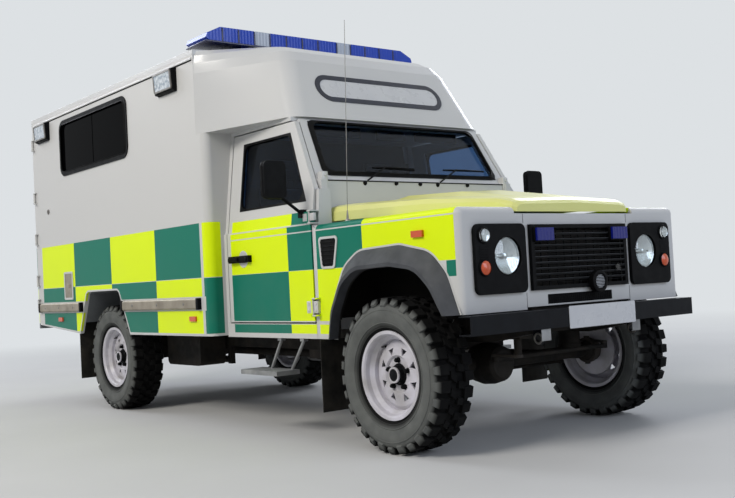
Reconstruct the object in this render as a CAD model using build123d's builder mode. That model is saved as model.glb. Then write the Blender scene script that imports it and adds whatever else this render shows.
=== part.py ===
"""Four wheel drive ambulance: long chassis, two-door cab and a box body with an over-cab pod.

Millimetres. +X is forward, +Y is the vehicle's left, +Z is up, and Z = 0 is the ground.
The origin is on the ground below the middle of the vehicle's length and width.
Outlines are written for the right-hand side, with the distance from the centre plane as "out".
"""
import os
from math import cos, radians, sin, sqrt

from build123d import *

# Driving dimensions
WHEELBASE = 3226.0
FRONT_REACH = 580.0          # front axle to the bumper's face
REAR_OVERHANG = 1327.0       # rear axle to the rear doors' outer face
HANDLE_PROUD = 24.0          # rear door handle, behind the doors' face
BODY_HALF = 836.0            # cab and wing side
TUMBLEHOME = 88.0            # how far the cab's side leans in at the door's top
BOX_HALF = 947.0             # box body side
BOX_TOP = 2369.0             # top of the box at its sides
CLEARANCE = 0.3              # between pieces that seat without touching

FRONT_AXLE = (WHEELBASE + REAR_OVERHANG + HANDLE_PROUD - FRONT_REACH) / 2
REAR_AXLE = FRONT_AXLE - WHEELBASE

# Wheels and tyres
TYRE_R = 388.0
TYRE_HALF = 125.0            # half the tyre's section width
TREAD_HALF = 100.0
WHEEL_Y = 771.0              # wheel's middle plane from the centre plane
BEAD_R = 206.0
FLANGE_R = 222.0
RIM_HALF = 89.0
RIM_WALL = 5.0
DROP_R = 182.0               # well of the rim
DISC_R = 148.0               # brake disc
DISC_OUT = (-75.0, -63.0)    # brake disc faces, from the wheel's middle plane
HUB_R = 57.0
HUB_NOSE_R = 40.0
HUB_NOSE_OUT = 72.0
SPINDLE_R = 20.0
HOLE_COUNT = 8               # triangular holes in the wheel disc
HOLE_PITCH_R = 122.0
HOLE_R = 24.0                # corner radius of each triangle about its own centre

# Axles and steering
KINGPIN_Y = 640.0
BALL_R = 60.0
CUP_WALL = 14.0
CUP_FACE = 48.0              # kingpin to the knuckle's outer face
BALL_FLAT = 4.0              # kingpin to the ball's open outer side
CUP_DEPTH = 39.0             # kingpin to the inside of the cup's back wall
CUP_RIM = -14.0              # kingpin to the cup's open rim
SWIVEL_CAP_R = 16.0
AXLE_TUBE_R = 36.0
DIFF_R = 112.0
FRONT_DIFF_Y = -195.0
REAR_DIFF_Y = -100.0
ARM_THICK = 14.0             # steering arms
TRACK_ARM_X = -165.0
TRACK_ARM_OUT = 590.0
TRACK_ARM_Z = 338.0          # underside of the rear steering arms
DRAG_ARM_X = 170.0
DRAG_ARM_OUT = 585.0
DRAG_ARM_Z = 436.0           # underside of the front steering arm and the drop arm
DROP_PIVOT_X = 335.0
DROP_PIVOT_Y = -300.0
STEERING_ROD_R = 12.0
ROD_EYE_HALF = 14.0
ROD_EYE_R = 18.0

# Chassis
RAIL_IN = 342.0
RAIL_OUT = 418.0
RAIL_TOP = 590.0
RAIL_BOTTOM = 450.0
KICK_TOP = 650.0             # rails over the axles
KICK_BOTTOM = 520.0
SPRING_OUT = 485.0
SPRING_R = 62.0
SPRING_BORE = 44.0
DAMPER_R = 22.0
TURRET_Z = 600.0
PAD_TOP = TYRE_R + 52.0
ARM_OUT = 400.0              # suspension arms
ARM_R = 24.0
ARM_REACH = 110.0            # axle to the arm's end
ARM_BRACKET = (ARM_OUT - 15, ARM_OUT + 15)

# Cab stations, as distances forward of the front axle
PANEL_X = FRONT_AXLE + 508.0         # white front panel
GRILLE_FACE = PANEL_X + 20.0
WING_REAR = FRONT_AXLE - 622.0
FIREWALL_REAR = WING_REAR - 23.0
DOOR_FRONT = FRONT_AXLE - 655.0
DOOR_REAR = FRONT_AXLE - 1556.0
BOX_FRONT = FRONT_AXLE - 1600.0
BOX_REAR = REAR_AXLE - REAR_OVERHANG
SCUTTLE_X = FRONT_AXLE - 662.0
SCREEN_X = FRONT_AXLE - 701.0        # foot of the windscreen glass

# Cab heights
SILL_Z = 557.0
CAB_FLOOR_Z = 600.0
DOOR_BOTTOM = 648.0
WING_TOP = 1182.0
WAIST_Z = 1189.0
DOOR_TOP = 1800.0
SEAT_BASE_Z = 850.0
SCREEN_Z = 1463.0
SCUTTLE_TOP = 1440.0
SOFFIT_Z = 1831.0            # underside of the pod over the cab

# Body panels
WING_IN = 400.0
SKIN = 14.0
DOOR_THICK = 50.0
LEAN_TOP_OUT = BODY_HALF - TUMBLEHOME    # door's outer face at its top
CAB_HALF = BODY_HALF - 56.0              # cab floor inside the doors
SILL_IN = BODY_HALF - 96.0
SEAT_HALF = 240.0
DRIVER_Y = SEAT_HALF - (LEAN_TOP_OUT - 128.0)
FRAME_THICK = 30.0
HINGE_OUT = BODY_HALF + 16.0
HINGE_X = DOOR_FRONT + 7.0
HINGE_R = 9.0
PIN_R = 4.0
LUG = 8.0                    # height of a hinge lug
DOOR_HINGES = ((690.0, 774.0), (1196.0, 1256.0))
BOX_WALL = 30.0
BOX_FLOOR_Z = KICK_TOP
BOX_BOTTOM = 567.0
REAR_HINGE_OUT = BOX_HALF + 10.0
REAR_HINGES = (800.0, 1000.0, 1350.0, 1700.0, 2150.0)
REAR_BARREL_HALF = 40.0
DOOR_GAP = 3.0

SCREEN_PLANE = Plane(origin=(SCREEN_X, 0, SCREEN_Z), x_dir=(0, 1, 0), z_dir=(0.872, 0, 0.489))


def ahead(distance):
    """X of a station that lies this far forward of the front axle."""
    return FRONT_AXLE + distance


def block(x, out, z, side=-1, mode=Mode.ADD):
    """Box between two stations, two distances out on one side, and two heights."""
    y = (side * out[0], side * out[1])
    centre = ((x[0] + x[1]) / 2, (y[0] + y[1]) / 2, (z[0] + z[1]) / 2)
    with Locations(centre):
        Box(abs(x[1] - x[0]), abs(y[1] - y[0]), abs(z[1] - z[0]), mode=mode)


def slab(x, half, z, mode=Mode.ADD):
    """Box that is centred on the vehicle's centre plane."""
    block(x, (-half, half), z, mode=mode)


def outline(plane, points, corner=0.0):
    """Closed outline of straight lines on a plane, with its corners rounded if a radius is given."""
    with BuildSketch(plane) as sketch:
        with BuildLine():
            Polyline(*points, close=True)
        make_face()
        if corner:
            fillet(sketch.vertices(), radius=corner)
    return sketch.sketch


def side_plate(points, inner, outer, mode=Mode.ADD, corner=0.0):
    """Right-hand plate: an X, Z outline that runs from one distance out to another."""
    extrude(outline(Plane.XZ.offset(inner), points, corner), amount=outer - inner, mode=mode)


def cross_plate(points, rear, front, mode=Mode.ADD, corner=0.0):
    """A Y, Z outline that runs forward from one station to another."""
    extrude(outline(Plane.YZ.offset(rear), points, corner), amount=front - rear, mode=mode)


def deck(points, low, high, mode=Mode.ADD, corner=0.0):
    """An X, Y outline that runs up from one height to another."""
    extrude(outline(Plane.XY.offset(low), points, corner), amount=high - low, mode=mode)


def rod(start, end, radius, mode=Mode.ADD):
    """Round bar between two points."""
    run = Vector(*end) - Vector(*start)
    with Locations(Plane(origin=start, z_dir=run)):
        Cylinder(radius, run.length, align=(Align.CENTER, Align.CENTER, Align.MIN), mode=mode)


def pipe(points, radius):
    """Round tube along straight runs, with a ball at each bend."""
    for start, end in zip(points, points[1:]):
        rod(start, end, radius)
    with Locations(*points[1:-1]):
        Sphere(radius)


def dome(x, y, z, radius, base, bulge):
    """Round lens that faces forward: a short cylinder with a domed face."""
    ball_r = (radius ** 2 + bulge ** 2) / (2 * bulge)
    half_way = base + bulge - ball_r + sqrt(ball_r ** 2 - (radius * 0.7) ** 2)
    with BuildSketch(Plane(origin=(x, y, z), x_dir=(0, 1, 0), z_dir=(0, 0, -1))) as section:
        with BuildLine():
            Line((0, 0), (radius, 0))
            Line((radius, 0), (radius, base))
            ThreePointArc((radius, base), (radius * 0.7, half_way), (0, base + bulge))
            Line((0, base + bulge), (0, 0))
        make_face()
    revolve(section.sketch, axis=Axis((x, y, z), (1, 0, 0)))


def mirrored(part):
    """Left-hand twin of a right-hand piece."""
    with BuildPart() as twin:
        mirror(part, about=Plane.XZ)
    return twin


def barrel(x, out, low, high):
    """Upright hinge barrel on the right-hand side, bored for its pin."""
    rod((x, -out, low), (x, -out, high), HINGE_R)
    rod((x, -out, low - 1), (x, -out, high + 1), PIN_R + CLEARANCE, mode=Mode.SUBTRACT)


def hinge_lugs(x, out, low, high, foot_x, foot_out):
    """Pin with a lug above and below a barrel, each lug carried by a foot on the body."""
    for lug_low in (low - CLEARANCE - LUG, high + CLEARANCE):
        rod((x, -out, lug_low), (x, -out, lug_low + LUG), HINGE_R)
        block((x, foot_x), (foot_out, out + HINGE_R), (lug_low, lug_low + LUG))
    rod((x, -out, low - LUG), (x, -out, high + LUG), PIN_R)


pieces = {}


# Tyres and wheels
WHEELS = [
    # name, axle station, side
    ("front_right", FRONT_AXLE, -1),
    ("front_left", FRONT_AXLE, 1),
    ("rear_right", REAR_AXLE, -1),
    ("rear_left", REAR_AXLE, 1),
]


def section_plane(x, side):
    """Plane through a wheel's axis: local X runs outwards and local Y is the radius."""
    return Plane(origin=(x, side * WHEEL_Y, TYRE_R), x_dir=(0, side, 0), z_dir=(side, 0, 0))


def make_tyre(x, side):
    """Tyre with a bulging sidewall and a wide tread, out to the tips of its lugs."""
    with BuildPart() as tyre:
        with BuildSketch(section_plane(x, side)) as section:
            with BuildLine():
                Polyline((0, BEAD_R), (RIM_HALF - CLEARANCE, BEAD_R), (RIM_HALF - CLEARANCE, FLANGE_R + 2),
                         (TREAD_HALF + 4, FLANGE_R + 14), (TYRE_HALF - 4, FLANGE_R + 44),
                         (TYRE_HALF, TYRE_R - 88),
                         (TREAD_HALF + 14, TYRE_R - 26), (TREAD_HALF, TYRE_R), (0, TYRE_R))
                mirror(about=Plane.YZ)
            make_face()
        revolve(section.sketch, axis=Axis((x, 0, TYRE_R), (0, 1, 0)))
    return tyre


def make_wheel(x, side):
    """Steel wheel with triangular holes, its hub, hub nose and brake disc."""
    outward = Plane(origin=(x, side * WHEEL_Y, TYRE_R), x_dir=(1, 0, 0), z_dir=(0, side, 0))
    rim_r = BEAD_R - CLEARANCE
    rim = [(RIM_HALF + 9, FLANGE_R), (RIM_HALF, FLANGE_R), (RIM_HALF, rim_r), (68, rim_r - 2),
           (48, DROP_R), (-48, DROP_R), (-68, rim_r - 2), (-RIM_HALF, rim_r),
           (-RIM_HALF, FLANGE_R), (-RIM_HALF - 9, FLANGE_R), (-RIM_HALF - 9, rim_r),
           (-RIM_HALF, rim_r - RIM_WALL - 2), (-66, rim_r - RIM_WALL - 6), (-46, DROP_R - RIM_WALL),
           (46, DROP_R - RIM_WALL), (66, rim_r - RIM_WALL - 6), (RIM_HALF, rim_r - RIM_WALL - 2),
           (RIM_HALF + 9, rim_r)]
    disc = [(12, DROP_R - 1), (20, DROP_R - 1), (34, 158), (44, 96), (36, 88), (32, 86), (32, HUB_R - 2),
            (24, HUB_R - 2), (24, 90), (34, 98), (27, 154)]
    with BuildPart() as wheel:
        for points in (rim, disc):
            revolve(outline(section_plane(x, side), points), axis=Axis((x, 0, TYRE_R), (0, 1, 0)))
        with BuildSketch(outward.offset(10)) as holes:
            with PolarLocations(HOLE_PITCH_R, HOLE_COUNT, start_angle=22.5):
                RegularPolygon(HOLE_R, 3, rotation=180)
        extrude(holes.sketch, amount=60, mode=Mode.SUBTRACT)
        centre = (x, side * WHEEL_Y, TYRE_R)
        for radius, inner, outer in ((DISC_R, *DISC_OUT), (HUB_R, DISC_OUT[0], 28.0),
                                     (HUB_NOSE_R, 28.0, HUB_NOSE_OUT)):
            start = (x, centre[1] + side * inner, TYRE_R)
            rod(start, (x, centre[1] + side * outer, TYRE_R), radius)
        bore_end = SPINDLE_END - WHEEL_Y + 5
        rod((x, centre[1] + side * (DISC_OUT[0] - 5), TYRE_R), (x, centre[1] + side * bore_end, TYRE_R),
            SPINDLE_R + CLEARANCE, mode=Mode.SUBTRACT)
    return wheel


SPINDLE_END = 800.0
for wheel_name, axle_x, wheel_side in WHEELS:
    pieces["tyre_" + wheel_name] = make_tyre(axle_x, wheel_side)
    pieces["wheel_" + wheel_name] = make_wheel(axle_x, wheel_side)


# Axles, knuckles and steering rods
PINION_REACH = 230.0         # axle to the propeller shaft's flange


def differential(x, y, towards):
    """Cast housing turned about the pinion's line: cover on one side, pinion nose on the other."""
    casting = [(-130, 0), (-130, 74), (-114, 92), (-58, DIFF_R - 4), (0, DIFF_R), (58, DIFF_R - 12),
               (104, 62), (140, 46), (PINION_REACH, 40), (PINION_REACH, 0)]
    pinion = Plane(origin=(x, y, TYRE_R), x_dir=(towards, 0, 0), z_dir=(0, -towards, 0))
    revolve(outline(pinion, casting), axis=Axis((x, y, TYRE_R), (1, 0, 0)))


def spring_pad(x, side):
    """Round seat for a coil spring on top of an axle tube."""
    rod((x, side * SPRING_OUT, TYRE_R + 12), (x, side * SPRING_OUT, PAD_TOP), SPRING_R + 6)


with BuildPart() as front_axle:
    rod((FRONT_AXLE, -KINGPIN_Y + 20, TYRE_R), (FRONT_AXLE, KINGPIN_Y - 20, TYRE_R), AXLE_TUBE_R)
    for axle_side in (-1, 1):
        with Locations((FRONT_AXLE, axle_side * KINGPIN_Y, TYRE_R)):
            Sphere(BALL_R)
        block((FRONT_AXLE - 80, FRONT_AXLE + 80), (KINGPIN_Y + BALL_FLAT, KINGPIN_Y + 80),
              (TYRE_R - 80, TYRE_R + 80), axle_side, Mode.SUBTRACT)
        spring_pad(FRONT_AXLE, axle_side)
        block((FRONT_AXLE - ARM_REACH, FRONT_AXLE - 5), ARM_BRACKET, (TYRE_R - 33, TYRE_R + 21), axle_side)
    differential(FRONT_AXLE, FRONT_DIFF_Y, -1)
pieces["front_axle"] = front_axle

with BuildPart() as rear_axle:
    flange_out = KINGPIN_Y + CUP_FACE
    tube_r = AXLE_TUBE_R + 4
    end = [(SPINDLE_END, 0), (SPINDLE_END, SPINDLE_R), (flange_out, SPINDLE_R), (flange_out, 68),
           (flange_out - 12, 68), (flange_out - 12, tube_r)]
    beam = end + [(-out, radius) for out, radius in reversed(end)]
    middle = Plane(origin=(REAR_AXLE, 0, TYRE_R), x_dir=(0, 1, 0), z_dir=(1, 0, 0))
    revolve(outline(middle, beam), axis=Axis((REAR_AXLE, 0, TYRE_R), (0, 1, 0)))
    for axle_side in (-1, 1):
        spring_pad(REAR_AXLE, axle_side)
        block((REAR_AXLE + 5, REAR_AXLE + ARM_REACH), ARM_BRACKET, (TYRE_R - 57, TYRE_R - 3), axle_side)
    differential(REAR_AXLE, REAR_DIFF_Y, 1)
pieces["rear_axle"] = rear_axle


def make_knuckle(side):
    """Swivel cup round the axle's ball, with its spindle, caliper and steering arms."""
    inner_r = BALL_R + CLEARANCE
    outer_r = BALL_R + CUP_WALL
    back = CUP_DEPTH - 1
    kingpin = Plane(origin=(FRONT_AXLE, side * KINGPIN_Y, TYRE_R), x_dir=(0, side, 0), z_dir=(side, 0, 0))
    with BuildPart() as knuckle:
        with BuildSketch(kingpin) as section:
            with BuildLine():
                inner_top = (CUP_RIM, sqrt(inner_r ** 2 - CUP_RIM ** 2))
                outer_top = (CUP_RIM, sqrt(outer_r ** 2 - CUP_RIM ** 2))
                inner_end = (back, sqrt(inner_r ** 2 - back ** 2))
                outer_end = (back, sqrt(outer_r ** 2 - back ** 2))
                Line(inner_top, outer_top)
                ThreePointArc(outer_top, (0, outer_r), outer_end)
                Line(outer_end, (CUP_FACE, outer_end[1]))
                Line((CUP_FACE, outer_end[1]), (CUP_FACE, SPINDLE_R))
                Line((CUP_FACE, SPINDLE_R), (SPINDLE_END - KINGPIN_Y, SPINDLE_R))
                Line((SPINDLE_END - KINGPIN_Y, SPINDLE_R), (SPINDLE_END - KINGPIN_Y, 0))
                Line((SPINDLE_END - KINGPIN_Y, 0), (CUP_DEPTH, 0))
                Line((CUP_DEPTH, 0), (CUP_DEPTH, inner_end[1]))
                Line((CUP_DEPTH, inner_end[1]), inner_end)
                ThreePointArc(inner_end, (0, inner_r), inner_top)
            make_face()
        revolve(section.sketch, axis=Axis((FRONT_AXLE, 0, TYRE_R), (0, 1, 0)))
        for cap_low in (outer_r - 3, -outer_r - 7):
            foot = (FRONT_AXLE, side * KINGPIN_Y, TYRE_R + cap_low)
            rod(foot, (foot[0], foot[1], foot[2] + 10), SWIVEL_CAP_R)
        disc_in = WHEEL_Y + DISC_OUT[0]
        disc_out = WHEEL_Y + DISC_OUT[1]
        block((FRONT_AXLE - 150, FRONT_AXLE - 45), (KINGPIN_Y + CUP_FACE - 7, KINGPIN_Y + CUP_FACE - 1),
              (TYRE_R - 30, TYRE_R + 30), side)
        block((FRONT_AXLE - 165, FRONT_AXLE - 112), (KINGPIN_Y + CUP_FACE - 12, disc_out + 16),
              (TYRE_R - 38, TYRE_R + 38), side)
        block((FRONT_AXLE - 155, FRONT_AXLE - 100), (disc_in - 6, disc_out + 6),
              (TYRE_R - 40, TYRE_R + 40), side, Mode.SUBTRACT)
        arms = [(TRACK_ARM_X, TRACK_ARM_OUT, TRACK_ARM_Z, -50)]
        if side > 0:
            arms.append((DRAG_ARM_X, DRAG_ARM_OUT, DRAG_ARM_Z, 39))
        for tip_x, tip_out, low, root_x in arms:
            arm = [(ahead(tip_x), side * (tip_out - 15)), (ahead(root_x), side * (KINGPIN_Y - 15)),
                   (ahead(root_x), side * (KINGPIN_Y + 15)), (ahead(tip_x), side * (tip_out + 15))]
            deck(arm, low, low + ARM_THICK)
            eye_y = side * tip_out
            rod((ahead(tip_x), eye_y, low), (ahead(tip_x), eye_y, low + ARM_THICK), ROD_EYE_R)
    return knuckle


pieces["knuckle_right"] = make_knuckle(-1)
pieces["knuckle_left"] = make_knuckle(1)


def steering_rod(x, first_y, last_y, eye_top):
    """Cross rod with an upright eye at each end."""
    z = eye_top - ROD_EYE_HALF
    with BuildPart() as link:
        rod((x, first_y, z), (x, last_y, z), STEERING_ROD_R)
        for y in (first_y, last_y):
            rod((x, y, eye_top - 2 * ROD_EYE_HALF), (x, y, eye_top), ROD_EYE_R)
    return link


pieces["track_rod"] = steering_rod(ahead(TRACK_ARM_X), -TRACK_ARM_OUT, TRACK_ARM_OUT, TRACK_ARM_Z - CLEARANCE)
pieces["drag_link"] = steering_rod(ahead(DRAG_ARM_X), DROP_PIVOT_Y, DRAG_ARM_OUT, DRAG_ARM_Z - CLEARANCE)

with BuildPart() as drop_arm:
    half_width = 15.0
    block((ahead(DRAG_ARM_X), ahead(DROP_PIVOT_X)), (-DROP_PIVOT_Y - half_width, -DROP_PIVOT_Y + half_width),
          (DRAG_ARM_Z, DRAG_ARM_Z + ARM_THICK))
    for eye_x, eye_r in ((DRAG_ARM_X, ROD_EYE_R), (DROP_PIVOT_X, ROD_EYE_R + 6)):
        eye_foot = (ahead(eye_x), DROP_PIVOT_Y, DRAG_ARM_Z)
        rod(eye_foot, (ahead(eye_x), DROP_PIVOT_Y, DRAG_ARM_Z + ARM_THICK), eye_r)
pieces["drop_arm"] = drop_arm


# Chassis frame
REAR_RAIL_END = BOX_REAR + 53.0
REAR_MEMBER = (REAR_RAIL_END, REAR_RAIL_END + 60.0)
RAIL = [
    # station, height: along the top, then back along the bottom
    (ahead(500), 640.0), (ahead(260), KICK_TOP), (ahead(-260), KICK_TOP), (ahead(-560), RAIL_TOP),
    (REAR_AXLE + 666, RAIL_TOP), (REAR_AXLE + 366, KICK_TOP), (REAR_AXLE - 334, KICK_TOP),
    (REAR_AXLE - 534, KICK_TOP), (REAR_RAIL_END, KICK_TOP),
    (REAR_RAIL_END, 500.0), (REAR_AXLE - 534, 500.0), (REAR_AXLE - 334, KICK_BOTTOM),
    (REAR_AXLE + 366, KICK_BOTTOM), (REAR_AXLE + 666, RAIL_BOTTOM), (ahead(-560), RAIL_BOTTOM),
    (ahead(-260), KICK_BOTTOM), (ahead(260), KICK_BOTTOM), (ahead(500), 560.0),
]
with BuildPart() as frame_rails:
    side_plate(RAIL, RAIL_IN, RAIL_OUT)
    for turret_x in (FRONT_AXLE, REAR_AXLE):
        block((turret_x - 75, turret_x + 75), (RAIL_OUT, SPRING_OUT + 75), (TURRET_Z, KICK_TOP))
    mirror(about=Plane.XZ)
    steering_box = (ahead(DROP_PIVOT_X) - 60, ahead(DROP_PIVOT_X) + 55)
    block(steering_box, (-DROP_PIVOT_Y - 40, RAIL_IN), (530, 600))
    rod((ahead(DROP_PIVOT_X), DROP_PIVOT_Y, DRAG_ARM_Z + ARM_THICK + CLEARANCE),
        (ahead(DROP_PIVOT_X), DROP_PIVOT_Y, 540), 20)
pieces["frame_rails"] = frame_rails

GEARBOX_BOTTOM = 475.0
CROSSMEMBERS = [
    # rear face, front face, bottom, top
    (ahead(400), ahead(480), 560.0, 640.0),
    (ahead(-1180), ahead(-1120), RAIL_BOTTOM, GEARBOX_BOTTOM),
    (ahead(-2060), ahead(-1980), 460.0, 580.0),
    (REAR_AXLE - 640, REAR_AXLE - 580, 520.0, 620.0),
    (*REAR_MEMBER, 500.0, 620.0),
]
TOW_BOLT_R = 8.5
TOW_SPACING = (140.0, 60.0)
with BuildPart() as crossmembers:
    for member_rear, member_front, low, high in CROSSMEMBERS:
        slab((member_rear, member_front), RAIL_IN, (low, high))
    with BuildSketch(Plane.YZ.offset(REAR_MEMBER[0])) as tow_holes:
        with Locations((0, 560)):
            with GridLocations(*TOW_SPACING, 2, 2):
                Circle(TOW_BOLT_R)
    extrude(tow_holes.sketch, amount=60, mode=Mode.SUBTRACT)
pieces["crossmembers"] = crossmembers


# Springs, dampers and arms: separate solids on one body
with BuildPart() as suspension:
    for spring_x in (FRONT_AXLE, REAR_AXLE):
        base = (spring_x, -SPRING_OUT, PAD_TOP)
        top = (spring_x, -SPRING_OUT, TURRET_Z)
        rod(base, top, SPRING_R)
        rod(base, top, SPRING_BORE, mode=Mode.SUBTRACT)
        rod(base, top, DAMPER_R)
    for arm_x, reach, arm_z in ((FRONT_AXLE - ARM_REACH, -820, TYRE_R - 6),
                                (REAR_AXLE + ARM_REACH, 800, TYRE_R - 30)):
        rod((arm_x, -ARM_OUT, arm_z), (arm_x + reach, -ARM_OUT, arm_z), ARM_R)
        block((arm_x + reach - 25, arm_x + reach + 25), ARM_BRACKET, (arm_z - 30, RAIL_BOTTOM))
    mirror(about=Plane.XZ)
pieces["suspension"] = suspension


# Engine, gearbox and radiator as plain masses
with BuildPart() as engine_and_radiator:
    slab((ahead(-560), ahead(160)), 230, (540, 1060))
    slab((ahead(-560), ahead(-200)), 150, (450, 540))
    slab((ahead(-1350), ahead(-560)), 150, (GEARBOX_BOTTOM, CAB_FLOOR_Z - 2))
    slab((ahead(-1600), ahead(-1350)), 230, (370, CAB_FLOOR_Z - 22))
    slab((ahead(405), ahead(460)), 320, (640, 1080))
pieces["engine_and_radiator"] = engine_and_radiator

with BuildPart() as propshafts:
    shaft_z = TYRE_R
    for rear_end, front_end, shaft_y in ((ahead(-1350), FRONT_AXLE - PINION_REACH, FRONT_DIFF_Y),
                                         (REAR_AXLE + PINION_REACH, ahead(-1600), REAR_DIFF_Y)):
        rod((rear_end, shaft_y, shaft_z), (front_end, shaft_y, shaft_z), 27)
        for joint_start in (rear_end, front_end - 80):
            rod((joint_start, shaft_y, shaft_z), (joint_start + 80, shaft_y, shaft_z), 38)
pieces["propshafts"] = propshafts

EXHAUST_ROUTE = [
    (ahead(-400), 230.0, 600.0), (ahead(-400), 290.0, 600.0), (ahead(-560), 290.0, 420.0),
    (ahead(-1700), 262.0, 365.0), (ahead(-2300), 262.0, 365.0), (REAR_AXLE + 330, 220.0, 480.0),
    (REAR_AXLE - 330, 220.0, 480.0), (REAR_AXLE - 560, 270.0, 430.0), (REAR_AXLE - 1080, 270.0, 420.0),
]
with BuildPart() as exhaust:
    pipe(EXHAUST_ROUTE, 25)
    rod((ahead(-1740), 262, 365), (ahead(-2260), 262, 365), 74)
    block((ahead(-2040), ahead(-2000)), (-277, -247), (425, 460))
pieces["exhaust"] = exhaust

with BuildPart() as fuel_tank:
    block((REAR_AXLE + 410, REAR_AXLE + 900), (440, 640), (330, RAIL_TOP))
    fillet(fuel_tank.edges().filter_by(Axis.Y), radius=40)
    for strap_x in (REAR_AXLE + 520, REAR_AXLE + 790):
        block((strap_x - 20, strap_x + 20), (RAIL_OUT, 441), (480, 560))
pieces["fuel_tank"] = fuel_tank


# Front bumper with lashing eyes
BUMPER_HALF = BODY_HALF + 18.0
BUMPER_Z = (585.0, 676.0)
BUMPER_BACK = ahead(500)
BUMPER_FACE = FRONT_AXLE + FRONT_REACH
LASHING_OUT = 365.0
LASHING_R = 17.0
LASHING_Z = 540.0
with BuildPart() as front_bumper:
    slab((BUMPER_BACK, BUMPER_FACE), BUMPER_HALF, BUMPER_Z)
    slab((BUMPER_BACK, BUMPER_FACE - 6), BUMPER_HALF, (BUMPER_Z[0] + 6, BUMPER_Z[1] - 6), Mode.SUBTRACT)
    for eye_side in (-1, 1):
        block((BUMPER_BACK, BUMPER_FACE - 6), (RAIL_IN, RAIL_OUT), (BUMPER_Z[0], 640), eye_side)
        eye_x = (BUMPER_BACK + BUMPER_FACE) / 2
        eye_plate = (LASHING_OUT - 8, LASHING_OUT + 8)
        eye_in, eye_out = eye_side * eye_plate[0], eye_side * eye_plate[1]
        block((eye_x - 30, eye_x + 30), eye_plate, (LASHING_Z, BUMPER_Z[0] + 3), eye_side)
        rod((eye_x, eye_in, LASHING_Z), (eye_x, eye_out, LASHING_Z), 30)
        rod((eye_x, eye_in, LASHING_Z), (eye_x, eye_out, LASHING_Z), LASHING_R, mode=Mode.SUBTRACT)
pieces["front_bumper"] = front_bumper


# Front wings, their arch flares and the front panel
ARCH = [
    # forward of the front axle, height: inner edge of the arch
    (-452.0, 560.0), (-420.0, 700.0), (-330.0, 850.0), (-215.0, 918.0), (60.0, 926.0),
    (250.0, 900.0), (350.0, 812.0), (432.0, 681.0),
]
FLARE = [
    # the same corners on the outer edge, where the flare meets the wing
    (-488.0, 560.0), (-470.0, 760.0), (-370.0, 940.0), (-240.0, 1016.0), (90.0, 1028.0),
    (314.0, 982.0), (418.0, 876.0), (494.0, 681.0),
]
FLARE_OUT = BODY_HALF + 59.0
ARCH_CORNER_R = 190.0
ARCH_FOOT_TOP = 690.0        # corners of the arch above this are rounded
BONNET_GAP = 6.0
BONNET_REAR = ahead(-652)
BONNET_FRONT = ahead(498)
FRAME_FOOT_HALF = BODY_HALF - 81.0       # windscreen frame's foot
BONNET_HALF_REAR = FRAME_FOOT_HALF - 50.0
BONNET_HALF_FRONT = 452.0
FLANGE_TOP = WING_TOP - 20
PANEL_TOP = 1148.0           # white front panel, below the bonnet's lip
INTAKE_HALF = 250.0          # slot below the grille
INTAKE_Z = (700.0, 748.0)
LAMP_OUT = 535.0
LAMP_Z = 945.0
LAMP_R = 89.0
LAMP_SEAT = PANEL_X - 44.0   # back of the lamp in its bucket
BUCKET_R = LAMP_R + 6.0


def arch_face(out, points):
    """Face at a distance out from points forward of the front axle, with the arch's corners rounded."""
    with BuildSketch(Plane.XZ.offset(out)) as sketch:
        with BuildLine():
            Polyline(*[(ahead(x), z) for x, z in points], close=True)
        make_face()
        fillet([corner for corner in sketch.vertices() if corner.Y > ARCH_FOOT_TOP], radius=ARCH_CORNER_R)
    return sketch.sketch


with BuildPart() as wing:
    block((WING_REAR, PANEL_X), (WING_IN, BODY_HALF), (662, WING_TOP))
    block((WING_REAR, ahead(-440)), (BODY_HALF - SKIN, BODY_HALF), (SILL_Z, 662))
    top_edge = wing.edges().filter_by(Axis.X).group_by(Axis.Z)[-1].sort_by(Axis.Y)[0]
    front_edge = wing.edges().filter_by(Axis.Z).group_by(Axis.X)[-1].sort_by(Axis.Y)[0]
    brow_edge = wing.edges().filter_by(Axis.Y).group_by(Axis.X)[-1].sort_by(Axis.Z)[-1]
    fillet([top_edge, front_edge, brow_edge], radius=34)
    block((WING_REAR + 12, PANEL_X - 12), (WING_IN + 12, BODY_HALF - SKIN), (640, WING_TOP - 32),
          mode=Mode.SUBTRACT)
    block((ahead(400), PANEL_X), (WING_IN, BODY_HALF), (640, 681), mode=Mode.SUBTRACT)
    gate = [(-452.0, 500.0)] + ARCH + [(432.0, 500.0)]
    extrude(arch_face(BODY_HALF - SKIN - 4, gate), amount=SKIN + 8, mode=Mode.SUBTRACT)
    seat_front = BONNET_HALF_FRONT + BONNET_GAP
    seat = [(BONNET_REAR, 0), (BONNET_REAR, -BONNET_HALF_REAR - BONNET_GAP),
            (BONNET_FRONT + BONNET_GAP, -seat_front), (PANEL_X, -seat_front), (PANEL_X, 0)]
    deck(seat, FLANGE_TOP, WING_TOP + 10, Mode.SUBTRACT)
    block((ahead(400), PANEL_X), (WING_IN, seat_front), (PANEL_TOP, WING_TOP), mode=Mode.SUBTRACT)
    rod((PANEL_X - 20, -LAMP_OUT, LAMP_Z), (PANEL_X + 1, -LAMP_OUT, LAMP_Z), BUCKET_R + CLEARANCE,
        mode=Mode.SUBTRACT)
    hinge_lugs(HINGE_X, HINGE_OUT, *DOOR_HINGES[0], WING_REAR + 30, BODY_HALF - 2)
    mirror(about=Plane.XZ)
pieces["front_wings"] = wing

with BuildPart() as arch_flares:
    brow = [((a[0] + b[0] * 4) / 5, (a[1] + b[1] * 4) / 5) for a, b in zip(FLARE, ARCH)]
    loft([arch_face(BODY_HALF, FLARE + ARCH[::-1]), arch_face(FLARE_OUT, brow + ARCH[::-1])], ruled=True)
    mirror(about=Plane.XZ)
pieces["arch_flares"] = arch_flares

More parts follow.
